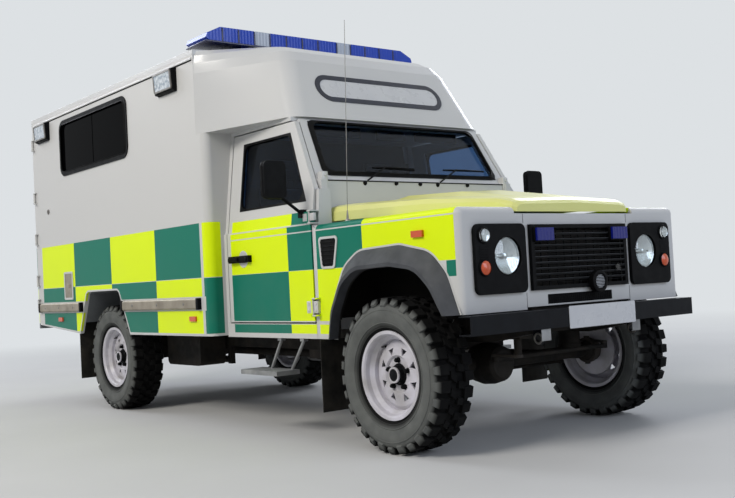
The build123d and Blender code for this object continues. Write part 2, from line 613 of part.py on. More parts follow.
with BuildPart() as front_panel:
    slab((PANEL_X - 18, PANEL_X), WING_IN, (692, PANEL_TOP))
    slab((PANEL_X - 78, PANEL_X), WING_IN, (PANEL_TOP - 15, PANEL_TOP))
    slab((PANEL_X - 30, PANEL_X + 5), 362, (778, 1088), Mode.SUBTRACT)
    slab((PANEL_X - 30, PANEL_X + 5), INTAKE_HALF, INTAKE_Z, Mode.SUBTRACT)
pieces["front_panel"] = front_panel

GRILLE_HALF = 370.0
GRILLE_Z = (771.0, 1093.0)
SLATS = 9
SURROUND_OUT = (WING_IN + 7, BODY_HALF - 86)
SURROUND_Z = (766.0, 1098.0)
HORN = (104.0, 797.0)        # distance to the left, height
with BuildPart() as grille:
    slab((PANEL_X, GRILLE_FACE), GRILLE_HALF, GRILLE_Z)
    slab((PANEL_X, GRILLE_FACE), GRILLE_HALF - 24, (GRILLE_Z[0] + 20, GRILLE_Z[1] - 20), Mode.SUBTRACT)
    slat_pitch = (GRILLE_Z[1] - GRILLE_Z[0] - 40) / (SLATS + 1)
    for index in range(1, SLATS + 1):
        slat_z = GRILLE_Z[0] + 20 + slat_pitch * index
        slab((PANEL_X + 2, GRILLE_FACE - 2), GRILLE_HALF - 20, (slat_z - 6, slat_z + 6))
    for rib_y in (-230, 0, 230):
        block((PANEL_X, PANEL_X + 6), (rib_y - 5, rib_y + 5), GRILLE_Z)
    rod((GRILLE_FACE - 4, *HORN), (GRILLE_FACE + 24, *HORN), 58)
    slab((PANEL_X - 14, PANEL_X - 4), INTAKE_HALF - CLEARANCE, (INTAKE_Z[0] + CLEARANCE, INTAKE_Z[1] - CLEARANCE))
    for lamp_side in (-1, 1):
        with BuildSketch(Plane.YZ.offset(PANEL_X)) as surround:
            with Locations((lamp_side * sum(SURROUND_OUT) / 2, sum(SURROUND_Z) / 2)):
                RectangleRounded(SURROUND_OUT[1] - SURROUND_OUT[0], SURROUND_Z[1] - SURROUND_Z[0], 34)
        extrude(surround.sketch, amount=GRILLE_FACE - PANEL_X)
        centre = (lamp_side * LAMP_OUT, LAMP_Z)
        rod((LAMP_SEAT - 4, *centre), (PANEL_X + 1, *centre), BUCKET_R)
        rod((LAMP_SEAT - CLEARANCE, *centre), (GRILLE_FACE + 1, *centre), LAMP_R + CLEARANCE,
            mode=Mode.SUBTRACT)
pieces["grille"] = grille

SMALL_LAMP_OUT = BODY_HALF - 142.0
with BuildPart() as white_lamps:
    for lamp_side in (-1, 1):
        dome(LAMP_SEAT, lamp_side * LAMP_OUT, LAMP_Z, LAMP_R, 20, 16)
        dome(GRILLE_FACE, lamp_side * SMALL_LAMP_OUT, 1044, 34, 6, 12)
    for lamp_x in (BOX_REAR + 284, BOX_FRONT - 438):
        for lamp_side in (-1, 1):
            section = [(lamp_side * out, z) for out, z in
                       ((BOX_HALF, 2302), (BOX_HALF + 54, 2292), (BOX_HALF + 40, 2150), (BOX_HALF, 2145))]
            cross_plate(section, lamp_x - 130, lamp_x + 130)
pieces["white_lamps"] = white_lamps

with BuildPart() as marker_lamps:
    for lamp_side in (-1, 1):
        dome(GRILLE_FACE, lamp_side * SMALL_LAMP_OUT, 892, 34, 6, 12)
        block((ahead(194), ahead(274)), (BODY_HALF, BODY_HALF + 14), (1056, 1088), lamp_side)
        for lamp_x in (BOX_REAR + 504, BOX_FRONT - 228):
            block((lamp_x - 40, lamp_x + 40), (BOX_HALF, BOX_HALF + 12), (660, 692), lamp_side)
        block((BOX_REAR - 14, BOX_REAR + 3), (BOX_HALF - 187, BOX_HALF - 47), (606, 636), lamp_side)
pieces["marker_lamps"] = marker_lamps


# Bonnet: a thin dished lid with a raised middle
BONNET_SECTIONS = [
    # forward of axle, corner cut, edge height, shoulder height, crown height, bulge half width, bulge rise
    (-652.0, 0.0, 1200.0, 1290.0, 1312.0, 330.0, 0.5),
    (-540.0, 0.0, 1200.0, 1291.0, 1314.0, 320.0, 10.0),
    (-420.0, 0.0, 1199.0, 1288.0, 1312.0, 310.0, 28.0),
    (-20.0, 0.0, 1197.0, 1278.0, 1298.0, 290.0, 24.0),
    (240.0, 0.0, 1192.0, 1254.0, 1270.0, 262.0, 8.0),
    (396.0, 0.0, 1186.0, 1238.0, 1250.0, 230.0, 0.5),
    (448.0, 1.0, 1163.0, 1226.0, 1237.0, 216.0, 0.5),
    (482.0, 8.0, 1160.0, 1212.0, 1221.0, 208.0, 0.5),
    (498.0, 26.0, 1158.0, 1196.0, 1204.0, 200.0, 0.5),
]
BONNET_SKIN = 14.0


def bonnet_form(inset, mode=Mode.ADD):
    """Bonnet's outside, or with an inset the hollow below it."""
    sections = []
    last = len(BONNET_SECTIONS) - 1
    taper = (BONNET_HALF_REAR - BONNET_HALF_FRONT) / (BONNET_FRONT - BONNET_REAR)
    for index, (x, cut, edge, shoulder, crown, bulge, rise) in enumerate(BONNET_SECTIONS):
        shift = inset if index == 0 else -inset if index == last else 0.0
        half = BONNET_HALF_FRONT + taper * (BONNET_FRONT - ahead(x)) - cut - inset
        edge, shoulder, crown = edge - inset, shoulder - inset, crown - inset
        slope = (crown - shoulder) / (half - 58)
        foot = crown - slope * (bulge + 50)
        top = crown - slope * bulge + rise
        rim = shoulder - edge
        right = [(half, edge), (half - 4, edge + rim * 0.55), (half - 20, edge + rim * 0.86),
                 (half - 58, shoulder), (bulge + 50, foot), (bulge, top)]
        points = right + [(0, crown + rise)] + [(-y, z) for y, z in reversed(right)]
        sections.append(outline(Plane.YZ.offset(ahead(x) + shift), points))
    loft(sections, ruled=True, mode=mode)


with BuildPart() as bonnet:
    bonnet_form(0.0)
    bonnet_form(BONNET_SKIN, Mode.SUBTRACT)
pieces["bonnet"] = bonnet


# Bulkhead, scuttle and windscreen frame
SCREEN_HEIGHT = 407.0
FRAME_HEAD_HALF = LEAN_TOP_OUT - 40.0
SCREEN_FOOT_HALF = FRAME_FOOT_HALF - 65.0
SCREEN_HEAD_HALF = FRAME_HEAD_HALF - 53.0
POST_IN = FRAME_FOOT_HALF - 43.0
GLASS_LINE = [(-SCREEN_FOOT_HALF, 6.0), (SCREEN_FOOT_HALF, 6.0), (SCREEN_HEAD_HALF, SCREEN_HEIGHT - 12),
              (-SCREEN_HEAD_HALF, SCREEN_HEIGHT - 12)]
with BuildPart() as bulkhead:
    slab((FIREWALL_REAR, WING_REAR), BODY_HALF - 3, (CAB_FLOOR_Z, WING_TOP))
    for post_side in (-1, 1):
        block((FIREWALL_REAR, WING_REAR), (SILL_IN, BODY_HALF - 3), (SILL_Z, CAB_FLOOR_Z), post_side)
        post = (POST_IN, FRAME_FOOT_HALF)
        block((ahead(-700), FIREWALL_REAR), post, (CAB_FLOOR_Z + 40, SCUTTLE_TOP), post_side)
        filler = [(POST_IN, WING_TOP - 10), (BODY_HALF - 30, WING_TOP - 10), (BODY_HALF - 48, 1380),
                  (POST_IN, 1380)]
        cross_plate([(post_side * out, z) for out, z in filler], DOOR_FRONT + DOOR_GAP + 2, WING_REAR)
    slab((ahead(-700), SCUTTLE_X), FRAME_FOOT_HALF, (WING_TOP - 10, SCUTTLE_TOP))
    slab((ahead(-700), WING_REAR), FRAME_FOOT_HALF, (WING_TOP - 22, WING_TOP + 8))
    low, high = DOOR_HINGES[1]
    for lug_side in (-1, 1):
        pin_y = lug_side * HINGE_OUT
        for lug_low in (low - CLEARANCE - LUG, high + CLEARANCE):
            block((HINGE_X, WING_REAR), (CAB_HALF, HINGE_OUT + HINGE_R), (lug_low, lug_low + LUG), lug_side)
            rod((HINGE_X, pin_y, lug_low), (HINGE_X, pin_y, lug_low + LUG), HINGE_R)
        rod((HINGE_X, pin_y, low - LUG), (HINGE_X, pin_y, high + LUG), PIN_R)
        bracket = (BONNET_HALF_REAR - 145, BONNET_HALF_REAR - 105)
        block((SCUTTLE_X, BONNET_REAR - CLEARANCE), bracket, (1225, 1275), lug_side)
    frame_line = [(-FRAME_FOOT_HALF, -30), (FRAME_FOOT_HALF, -30), (FRAME_HEAD_HALF, SCREEN_HEIGHT),
                  (-FRAME_HEAD_HALF, SCREEN_HEIGHT)]
    extrude(outline(SCREEN_PLANE.offset(-40), frame_line), amount=40)
    extrude(outline(SCREEN_PLANE.offset(-45), GLASS_LINE), amount=50, mode=Mode.SUBTRACT)
pieces["bulkhead"] = bulkhead

with BuildPart() as windscreen:
    extrude(outline(SCREEN_PLANE.offset(-24), GLASS_LINE), amount=7)
pieces["windscreen"] = windscreen


# Cab floor, roof, dashboard and seats
with BuildPart() as cab_floor:
    slab((BOX_FRONT, FIREWALL_REAR), CAB_HALF, (CAB_FLOOR_Z, CAB_FLOOR_Z + 40))
    for sill_side in (-1, 1):
        block((BOX_FRONT, FIREWALL_REAR), (SILL_IN, BODY_HALF - 2), (SILL_Z, CAB_FLOOR_Z + 40), sill_side)
        for mount_x in (ahead(-800), ahead(-1450)):
            block((mount_x - 30, mount_x + 30), (RAIL_IN, RAIL_OUT), (RAIL_TOP, CAB_FLOOR_Z), sill_side)
    slab((BOX_FRONT, ahead(-1080)), LEAN_TOP_OUT - 68, (CAB_FLOOR_Z + 40, SEAT_BASE_Z))
pieces["cab_floor"] = cab_floor

with BuildPart() as cab_roof:
    slab((BOX_FRONT, ahead(-925)), LEAN_TOP_OUT, (DOOR_TOP + 8, SOFFIT_Z))
pieces["cab_roof"] = cab_roof

COLUMN = Vector(-0.87, 0, 0.49)
COLUMN_FOOT = Vector(ahead(-860), DRIVER_Y, 1130)
WHEEL_CENTRE = COLUMN_FOOT + COLUMN * 170
STEERING_WHEEL_R = 190.0
with BuildPart() as dashboard:
    face = [(ahead(-700), 1040), (ahead(-700), 1330), (ahead(-800), 1330), (ahead(-900), 1240),
            (ahead(-860), 1060)]
    side_plate(face, -SCREEN_FOOT_HALF - 5, SCREEN_FOOT_HALF + 5)
    rod(tuple(COLUMN_FOOT - COLUMN * 40), tuple(COLUMN_FOOT + COLUMN * 120), 32)
pieces["dashboard"] = dashboard

RIM_PLANE = Plane(origin=WHEEL_CENTRE, z_dir=COLUMN)
with BuildPart() as steering_wheel:
    across = Plane(origin=WHEEL_CENTRE, x_dir=(0, 1, 0), z_dir=COLUMN.cross(Vector(0, 1, 0)))
    with BuildSketch(across) as rim_section:
        with Locations((STEERING_WHEEL_R, 0)):
            RegularPolygon(13, 8)
    revolve(rim_section.sketch, axis=Axis(WHEEL_CENTRE, COLUMN))
    rod(tuple(WHEEL_CENTRE - COLUMN * 50 + COLUMN * CLEARANCE), tuple(WHEEL_CENTRE + COLUMN * 14), 36)
    for angle in (25, 145, 265):
        along = (cos(radians(angle)), sin(radians(angle)))
        start = RIM_PLANE.from_local_coords(Vector(25 * along[0], 25 * along[1], 0))
        reach = STEERING_WHEEL_R - 3
        tip = RIM_PLANE.from_local_coords(Vector(reach * along[0], reach * along[1], 0))
        rod(tuple(start), tuple(tip), 8)
pieces["steering_wheel"] = steering_wheel

with BuildPart() as seats:
    for seat_y in (DRIVER_Y, -DRIVER_Y):
        profile = [(ahead(-1075), SEAT_BASE_Z), (ahead(-1060), 955), (ahead(-1420), 955),
                   (ahead(-1500), 1500), (ahead(-1505), 1680), (ahead(-1570), 1680), (ahead(-1570), 1500),
                   (ahead(-1545), SEAT_BASE_Z)]
        side_plate(profile, -seat_y - SEAT_HALF, -seat_y + SEAT_HALF)
pieces["seats"] = seats


# Cab doors, hung on outside hinges at their front edge
LEAN = (WAIST_Z + 11, DOOR_TOP)
DOOR_SKIN = [
    # out, height: the door's section, from inside at the bottom
    (BODY_HALF - DOOR_THICK, DOOR_BOTTOM), (BODY_HALF, DOOR_BOTTOM), (BODY_HALF, WAIST_Z),
    (BODY_HALF - 12, LEAN[0]), (LEAN_TOP_OUT, LEAN[1]), (LEAN_TOP_OUT - FRAME_THICK, LEAN[1]),
    (BODY_HALF - DOOR_THICK + 4, LEAN[0]), (BODY_HALF - DOOR_THICK, WAIST_Z),
]
DOOR_OUTLINE = [
    (DOOR_FRONT, DOOR_BOTTOM), (DOOR_FRONT, 1385), (ahead(-888), DOOR_TOP), (DOOR_REAR, DOOR_TOP),
    (DOOR_REAR, DOOR_BOTTOM),
]
WINDOW = [
    (ahead(-722), 1320), (ahead(-921), 1738), (ahead(-1436), 1738), (ahead(-1436), 1320),
]
PANE_OUT = (BODY_HALF - 24, LEAN_TOP_OUT - 12)
with BuildPart() as door_right:
    side_plate(DOOR_OUTLINE, LEAN_TOP_OUT - 60, BODY_HALF)
    cross_plate([(-out, z) for out, z in DOOR_SKIN], DOOR_REAR - 5, DOOR_FRONT + 5, Mode.INTERSECT)
    side_plate(WINDOW, LEAN_TOP_OUT - 80, BODY_HALF + 5, Mode.SUBTRACT)
    for low, high in DOOR_HINGES:
        block((DOOR_FRONT - 36, HINGE_X), (BODY_HALF - 22, HINGE_OUT), (low, high))
        barrel(HINGE_X, HINGE_OUT, low, high)
    block((DOOR_REAR + 44, DOOR_REAR + 272), (BODY_HALF - 4, BODY_HALF + 22), (1012, 1046))
pieces["door_right"] = door_right
pieces["door_left"] = mirrored(door_right.part)

with BuildPart() as door_glass_right:
    side_plate(WINDOW, LEAN_TOP_OUT - 60, BODY_HALF)
    foot, head = PANE_OUT
    pane = [(-foot, LEAN[0]), (-head, LEAN[1]), (-head + 5, LEAN[1]), (-foot + 5, LEAN[0])]
    cross_plate(pane, DOOR_REAR, DOOR_FRONT, Mode.INTERSECT)
pieces["door_glass_right"] = door_glass_right
pieces["door_glass_left"] = mirrored(door_glass_right.part)

MIRROR_X = ahead(-702)
MIRROR_OUT = (BODY_HALF + 129.0, BODY_HALF + 269.0)
MIRROR_Z = (1330.0, 1535.0)
with BuildPart() as mirror_right:
    block((MIRROR_X - 20, MIRROR_X + 22), MIRROR_OUT, MIRROR_Z)
    fillet(mirror_right.edges().filter_by(Axis.X), radius=30)
    block((ahead(-735), ahead(-700)), (BODY_HALF - 15, BODY_HALF + 26), (1226, 1272))
    rod((ahead(-718), -BODY_HALF - 14, 1252), (MIRROR_X, -BODY_HALF - 164, 1345), 9)
pieces["mirror_right"] = mirror_right
pieces["mirror_left"] = mirrored(mirror_right.part)


# Box body
ROOF_CROWN = 31.0
ROOF_THICK = 30.0
POST_DEEP = 60.0
WALL_FRONT = BOX_FRONT - POST_DEEP
POD_REAR = BOX_FRONT - 90.0
WALL_REAR = BOX_REAR + BOX_WALL
ARCH_CUT = [
    # forward of the rear axle, height: the rear wheel opening
    (-446.0, BOX_BOTTOM), (-300.0, 868.0), (-268.0, 885.0), (262.0, 885.0), (290.0, 868.0),
    (454.0, BOX_BOTTOM),
]
ARCH_POINTS = [(REAR_AXLE + x, z) for x, z in ARCH_CUT]
SIDE_WINDOW = (BOX_REAR + 647.0, BOX_REAR + 1862.0, 1840.0, 2240.0)
WHEEL_BOX_IN = WHEEL_Y - 163.0


def window_outline(grow):
    """Side window's rounded outline, made larger or smaller all round."""
    rear, front, low, high = SIDE_WINDOW
    with BuildSketch(Plane.XZ.offset(BOX_HALF - BOX_WALL - 5)) as hole:
        with Locations(((rear + front) / 2, (low + high) / 2)):
            RectangleRounded(front - rear + 2 * grow, high - low + 2 * grow, 60 + grow)
    return hole.sketch


with BuildPart() as wall_right:
    wall_top = BOX_TOP - ROOF_THICK
    wall_line = [(WALL_FRONT, BOX_BOTTOM), (WALL_FRONT, SOFFIT_Z), (POD_REAR, SOFFIT_Z), (POD_REAR, wall_top),
                 (WALL_REAR, wall_top), (WALL_REAR, 630), (REAR_AXLE - 446, BOX_BOTTOM - 1)]
    side_plate(wall_line, BOX_HALF - BOX_WALL, BOX_HALF)
    opening = [(REAR_AXLE - 470, BOX_BOTTOM - 30)] + ARCH_POINTS + [(REAR_AXLE + 470, BOX_BOTTOM - 30)]
    side_plate(opening, BOX_HALF - BOX_WALL - 5, BOX_HALF + 5, Mode.SUBTRACT)
    extrude(window_outline(0.0), amount=BOX_WALL + 10, mode=Mode.SUBTRACT)
    for hinge_z in REAR_HINGES:
        low, high = hinge_z - REAR_BARREL_HALF, hinge_z + REAR_BARREL_HALF
        hinge_lugs(WALL_REAR, REAR_HINGE_OUT, low, high, WALL_REAR + 34, BOX_HALF - 2)
pieces["box_wall_right"] = wall_right
pieces["box_wall_left"] = mirrored(wall_right.part)

with BuildPart() as side_windows:
    rear, front, low, high = SIDE_WINDOW
    with BuildSketch(Plane.XZ.offset(BOX_HALF - 14)) as pane_face:
        with Locations(((rear + front) / 2, (low + high) / 2)):
            RectangleRounded(front - rear - 2 * CLEARANCE, high - low - 2 * CLEARANCE, 60)
    extrude(pane_face.sketch, amount=8)
    mirror(about=Plane.XZ)
pieces["side_windows"] = side_windows

with BuildPart() as box_front_wall:
    slab((BOX_FRONT - BOX_WALL, BOX_FRONT), BOX_HALF, (BOX_BOTTOM, SOFFIT_Z))
    for post_side in (-1, 1):
        block((WALL_FRONT, BOX_FRONT), (BOX_HALF - POST_DEEP, BOX_HALF), (BOX_BOTTOM, SOFFIT_Z), post_side)
    corners = box_front_wall.edges().filter_by(Axis.Z).group_by(Axis.X)[-1]
    fillet(corners, radius=50)
    post_in = LEAN_TOP_OUT - 58
    for post_side in (-1, 1):
        post = [(post_side * out, z) for out, z in
                ((post_in, CAB_FLOOR_Z + 40), (BODY_HALF - 2, CAB_FLOOR_Z + 40), (BODY_HALF - 2, WAIST_Z),
                 (BODY_HALF - 14, LEAN[0]), (LEAN_TOP_OUT, DOOR_TOP + 8), (post_in, DOOR_TOP + 8))]
        cross_plate(post, BOX_FRONT, BOX_FRONT + 34)
    slab((WALL_FRONT - 5, BOX_FRONT + 5), 700, (BOX_BOTTOM - 5, RAIL_TOP), Mode.SUBTRACT)
pieces["box_front_wall"] = box_front_wall

with BuildPart() as box_floor:
    slab((WALL_REAR, BOX_FRONT - BOX_WALL), BOX_HALF - BOX_WALL, (BOX_FLOOR_Z, BOX_FLOOR_Z + 30))
    for post_side in (-1, 1):
        block((WALL_FRONT, BOX_FRONT), (BOX_HALF - POST_DEEP, BOX_HALF), (BOX_FLOOR_Z - 5, BOX_FLOOR_Z + 35),
              post_side, Mode.SUBTRACT)
    slab((BOX_REAR + 3, WALL_REAR), BOX_HALF, (600, BOX_FLOOR_Z - 8))
    slab((WALL_REAR, WALL_REAR + 10), BOX_HALF - BOX_WALL, (600, BOX_FLOOR_Z))
    for bearer_x in (BOX_FRONT - 200, REAR_AXLE + 826):
        slab((bearer_x - 30, bearer_x + 30), BOX_HALF - BOX_WALL, (RAIL_TOP, BOX_FLOOR_Z))
    box_out = BOX_HALF - BOX_WALL
    lining = [(x + (-12 if x < REAR_AXLE else 12), z + (12 if z > 870 else 0)) for x, z in ARCH_POINTS]
    side_plate(lining, WHEEL_BOX_IN, box_out)
    side_plate(ARCH_POINTS, WHEEL_BOX_IN + 12, box_out, Mode.SUBTRACT)
    side_plate([(x, z) for x, z in reversed(lining)], -box_out, -WHEEL_BOX_IN)
    side_plate(ARCH_POINTS, -box_out, -WHEEL_BOX_IN - 12, Mode.SUBTRACT)
    for under_side in (-1, 1):
        block((REAR_AXLE - 600, REAR_AXLE + 600), (WHEEL_BOX_IN - 1, box_out), (BOX_BOTTOM - 5, BOX_FLOOR_Z),
              under_side, Mode.SUBTRACT)
pieces["box_floor"] = box_floor

with BuildPart() as box_roof:
    with BuildSketch(Plane.YZ.offset(BOX_REAR)) as roof_section:
        with BuildLine():
            Line((-BOX_HALF, BOX_TOP - ROOF_THICK), (BOX_HALF, BOX_TOP - ROOF_THICK))
            Line((BOX_HALF, BOX_TOP - ROOF_THICK), (BOX_HALF, BOX_TOP))
            ThreePointArc((BOX_HALF, BOX_TOP), (0, BOX_TOP + ROOF_CROWN), (-BOX_HALF, BOX_TOP))
            Line((-BOX_HALF, BOX_TOP), (-BOX_HALF, BOX_TOP - ROOF_THICK))
        make_face()
    extrude(roof_section.sketch, amount=POD_REAR - BOX_REAR)
pieces["box_roof"] = box_roof

POD_SECTIONS = [
    # height, front station ahead of axle, front half width, rear half width, front corner radius
    (SOFFIT_Z, -890.0, 738.0, BOX_HALF, 110.0),
    (2215.0, -1092.0, 640.0, BOX_HALF, 120.0),
    (2280.0, -1150.0, 612.0, BOX_HALF - 5, 120.0),
    (2330.0, -1250.0, 580.0, BOX_HALF - 13, 120.0),
    (2362.0, -1390.0, 545.0, BOX_HALF - 32, 120.0),
    (2386.0, -1570.0, 470.0, BOX_HALF - 307, 60.0),
]
POD_WALL = 28.0


def pod_form(inset, mode=Mode.ADD):
    """Over-cab pod from level sections, or with an inset the space inside it."""
    sections = []
    last = len(POD_SECTIONS) - 1
    for index, (z, front_at, half, rear_half, corner) in enumerate(POD_SECTIONS):
        lift = inset if index == 0 else -inset
        front_x = ahead(front_at) - inset
        back_x = POD_REAR - (5 if inset else 0)
        points = [(back_x, -rear_half + inset), (front_x, -half + inset), (front_x, half - inset),
                  (back_x, rear_half - inset)]
        with BuildSketch(Plane.XY.offset(z + lift)) as level:
            with BuildLine():
                Polyline(*points, close=True)
            make_face()
            fillet(level.vertices().group_by(Axis.X)[-1], radius=corner - inset)
        sections.append(level.sketch)
    loft(sections, ruled=True, mode=mode)


with BuildPart() as pod:
    pod_form(0.0)
    pod_form(POD_WALL, Mode.SUBTRACT)
pieces["pod"] = pod

RAIL_Z = (737.0, 805.0)
with BuildPart() as rub_rails:
    for rail_rear, rail_front in ((BOX_REAR + 67, REAR_AXLE - 374), (REAR_AXLE + 366, BOX_FRONT - 126)):
        block((rail_rear, rail_front), (BOX_HALF, BOX_HALF + 25), RAIL_Z)
    fillet(rub_rails.edges().filter_by(Axis.X).group_by(Axis.Y)[0], radius=12)
    mirror(about=Plane.XZ)
pieces["rub_rails"] = rub_rails

BAR_X = ahead(-1790)
BAR_DEEP = 260.0
BAR_HALF = BOX_HALF - 87.0
BAR_Z = (2432.0, 2528.0)
with BuildPart() as blue_lights:
    half_section = [(BAR_HALF - 30, BAR_Z[0]), (BAR_HALF, BAR_Z[0] + 22), (BAR_HALF - 10, BAR_Z[0] + 50),
                    (BAR_HALF - 105, BAR_Z[1])]
    section = half_section + [(-y, z) for y, z in reversed(half_section)]
    cross_plate(section, BAR_X - BAR_DEEP / 2, BAR_X + BAR_DEEP / 2)
    foot_y = 500.0
    foot_z = BOX_TOP + ROOF_CROWN * (1 - (foot_y / BOX_HALF) ** 2) + CLEARANCE
    for foot_side in (-1, 1):
        block((BAR_X - 60, BAR_X + 60), (foot_y, foot_y + 60), (foot_z, BAR_Z[0] + 5), foot_side)
        block((GRILLE_FACE, GRILLE_FACE + 26), (230, 350), (1013, 1075), foot_side)
pieces["blue_lights"] = blue_lights

FLAPS = [
    # rear face, inner, outer, bottom, top
    (ahead(-546), BODY_HALF - 176, BODY_HALF + 54, 170.0, SILL_Z),
    (REAR_AXLE - 480, BOX_HALF - 267, BOX_HALF - 7, 215.0, BOX_BOTTOM - 3),
]
with BuildPart() as mud_flaps:
    for flap_x, inner, outer, low, high in FLAPS:
        block((flap_x, flap_x + 6), (inner, outer), (low, high))
    rear_flap = FLAPS[1]
    flap_head = (rear_flap[1], BOX_HALF - BOX_WALL - 5)
    block((rear_flap[0], rear_flap[0] + 6), flap_head, (rear_flap[4] - 5, BOX_FLOOR_Z))
    mirror(about=Plane.XZ)
pieces["mud_flaps"] = mud_flaps

STEP_Z = (352.0, 378.0)
STEP_REAR = ahead(-1284)
STEP_HANGER_OUT = BODY_HALF - 21.0
with BuildPart() as steps:
    block((STEP_REAR, STEP_REAR + 386), (STEP_HANGER_OUT - 25, BODY_HALF + 109), STEP_Z)
    for hanger_x, tread_x in ((STEP_REAR + 252, STEP_REAR + 134), (STEP_REAR + 481, STEP_REAR + 344)):
        hanger_out = (STEP_HANGER_OUT - 15, STEP_HANGER_OUT + 15)
        block((hanger_x - 18, hanger_x + 18), hanger_out, (SILL_Z - 16, SILL_Z))
        rod((hanger_x, -STEP_HANGER_OUT, SILL_Z - 12), (tread_x, -STEP_HANGER_OUT, STEP_Z[1] - 6), 9)
    mirror(about=Plane.XZ)
    slab((BOX_REAR + 8, REAR_MEMBER[1]), 300, (420, 440))
    for hanger_side in (-1, 1):
        block((REAR_MEMBER[0] + 10, REAR_MEMBER[1] - 10), (260, 272), (430, 500), hanger_side)
pieces["steps"] = steps


# Rear doors, hung on the box's rear corners
REAR_DOOR = (BOX_REAR, WALL_REAR - DOOR_GAP)
REAR_DOOR_Z = (BOX_FLOOR_Z - 5, BOX_TOP - ROOF_THICK - 5)
REAR_PANE = (190.0, BOX_HALF - 197.0, 1500.0, 2050.0)
with BuildPart() as rear_door_right:
    block(REAR_DOOR, (4, BOX_HALF - 2), REAR_DOOR_Z)
    pane_in, pane_out, pane_low, pane_high = REAR_PANE
    block((BOX_REAR - 5, WALL_REAR), (pane_in, pane_out), (pane_low, pane_high), mode=Mode.SUBTRACT)
    for hinge_z in REAR_HINGES:
        low, high = hinge_z - REAR_BARREL_HALF, hinge_z + REAR_BARREL_HALF
        block((BOX_REAR + 6, WALL_REAR - 2), (BOX_HALF - 6, REAR_HINGE_OUT), (low, high))
        barrel(WALL_REAR, REAR_HINGE_OUT, low, high)
    block((BOX_REAR - HANDLE_PROUD, BOX_REAR + 1), (40, 76), (1080, 1290))
pieces["rear_door_right"] = rear_door_right

with BuildPart() as rear_door_left:
    mirror(rear_door_right.part, about=Plane.XZ)
    block((BOX_REAR - HANDLE_PROUD - 5, BOX_REAR), (30, 90), (1000, 1400), side=1, mode=Mode.SUBTRACT)
pieces["rear_door_left"] = rear_door_left

with BuildPart() as rear_glass_right:
    block((BOX_REAR + 12, BOX_REAR + 18), (pane_in, pane_out), (pane_low, pane_high))
pieces["rear_glass_right"] = rear_glass_right
pieces["rear_glass_left"] = mirrored(rear_glass_right.part)


os.makedirs("parts", exist_ok=True)
for piece_name, piece in pieces.items():
    piece.part.label = piece_name
    export_step(piece.part, f"parts/{piece_name}.step")
print(len(pieces), "pieces")
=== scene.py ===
"""Looks for the four wheel drive ambulance: paint, vinyl, glass, tyres, lamps, seats and small fittings.

Metres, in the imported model's frame: +X forward, +Y to the vehicle's left, +Z up. Places are written
in millimetres from the front axle, as (ahead, left, up), and turned into metres by one function.
"""
import math

import bmesh
import bpy
from mathutils import Matrix, Vector
from mathutils.bvhtree import BVHTree


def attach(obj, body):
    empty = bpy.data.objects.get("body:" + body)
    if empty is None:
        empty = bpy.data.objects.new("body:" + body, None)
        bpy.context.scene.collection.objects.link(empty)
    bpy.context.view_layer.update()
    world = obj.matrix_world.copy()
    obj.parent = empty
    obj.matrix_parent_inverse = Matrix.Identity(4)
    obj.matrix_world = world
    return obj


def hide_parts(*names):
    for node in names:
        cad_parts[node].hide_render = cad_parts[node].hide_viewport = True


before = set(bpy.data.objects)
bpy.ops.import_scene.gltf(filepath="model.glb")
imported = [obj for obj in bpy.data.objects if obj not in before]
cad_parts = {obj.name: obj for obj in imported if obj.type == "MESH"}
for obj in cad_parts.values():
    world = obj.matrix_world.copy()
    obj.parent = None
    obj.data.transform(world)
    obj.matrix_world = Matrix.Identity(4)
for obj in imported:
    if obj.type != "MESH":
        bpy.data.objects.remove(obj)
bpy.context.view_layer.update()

MM = 0.001
FULL_TURN = 2 * math.pi
FRONT_AXLE = 1998.5
REAR_AXLE_AHEAD = -3226.0
WHEEL_OUT = 771.0
CAB_SKIN = 836
BOX_SKIN = 947
BOX_REAR, BOX_FRONT = -4500, -1705
REAR_DOOR_FACE = -4555
VEHICLE_RANGE = (-4800.0, 3200.0)
SIDES = {"right": -1, "left": 1}
CORNERS = ("front_right", "front_left", "rear_right", "rear_left")
ORIGIN = Vector((0, 0, 0))
FORWARD, ASIDE, UPWARD = Vector((1, 0, 0)), Vector((0, 1, 0)), Vector((0, 0, 1))


def at(ahead, left, up):
    """A place in metres, from millimetres ahead of the front axle, left of centre and up."""
    return Vector(((FRONT_AXLE + ahead) * MM, left * MM, up * MM))


# Colour and material helpers


def linear(code, alpha=1.0):
    """A colour written as sRGB hex, turned to linear light for Blender."""
    parts = [int(code[i:i + 2], 16) / 255 for i in (1, 3, 5)]
    parts = [c / 12.92 if c <= 0.04045 else ((c + 0.055) / 1.055) ** 2.4 for c in parts]
    return (*parts, alpha)


def add(owner, kind, inputs=None, **settings):
    """Adds one shader node. An input is a plain value, a hex colour, a node or one of its outputs.

    A kind's second word is its operation. A mix is of colours."""
    kind, *operation = kind.split()
    node = owner.node_tree.nodes.new("ShaderNode" + kind)
    if operation:
        node.operation = operation[0]
    if kind == "Mix":
        node.data_type = "RGBA"
    for name, value in settings.items():
        setattr(node, name, value)
    for name, value in (inputs or {}).items():
        if isinstance(value, bpy.types.Node):
            value = value.outputs[2 if value.bl_idname == "ShaderNodeMix" else 0]
        if isinstance(value, bpy.types.NodeSocket):
            owner.node_tree.links.new(value, node.inputs[name])
        else:
            node.inputs[name].default_value = linear(value) if isinstance(value, str) else value
    return node


def start(name):
    """An empty material, and the coordinates of the object that wears it."""
    material = bpy.data.materials.new(name)
    material.use_nodes = True
    material.node_tree.nodes.clear()
    return material, add(material, "TexCoord").outputs["Object"]


def surface(material, **inputs):
    """Gives a material its shader and output. Words of an input's name are joined by underscores."""
    named = {name.replace("_", " "): value for name, value in inputs.items()}
    add(material, "OutputMaterial", {"Surface": add(material, "BsdfPrincipled", named)})
    return material


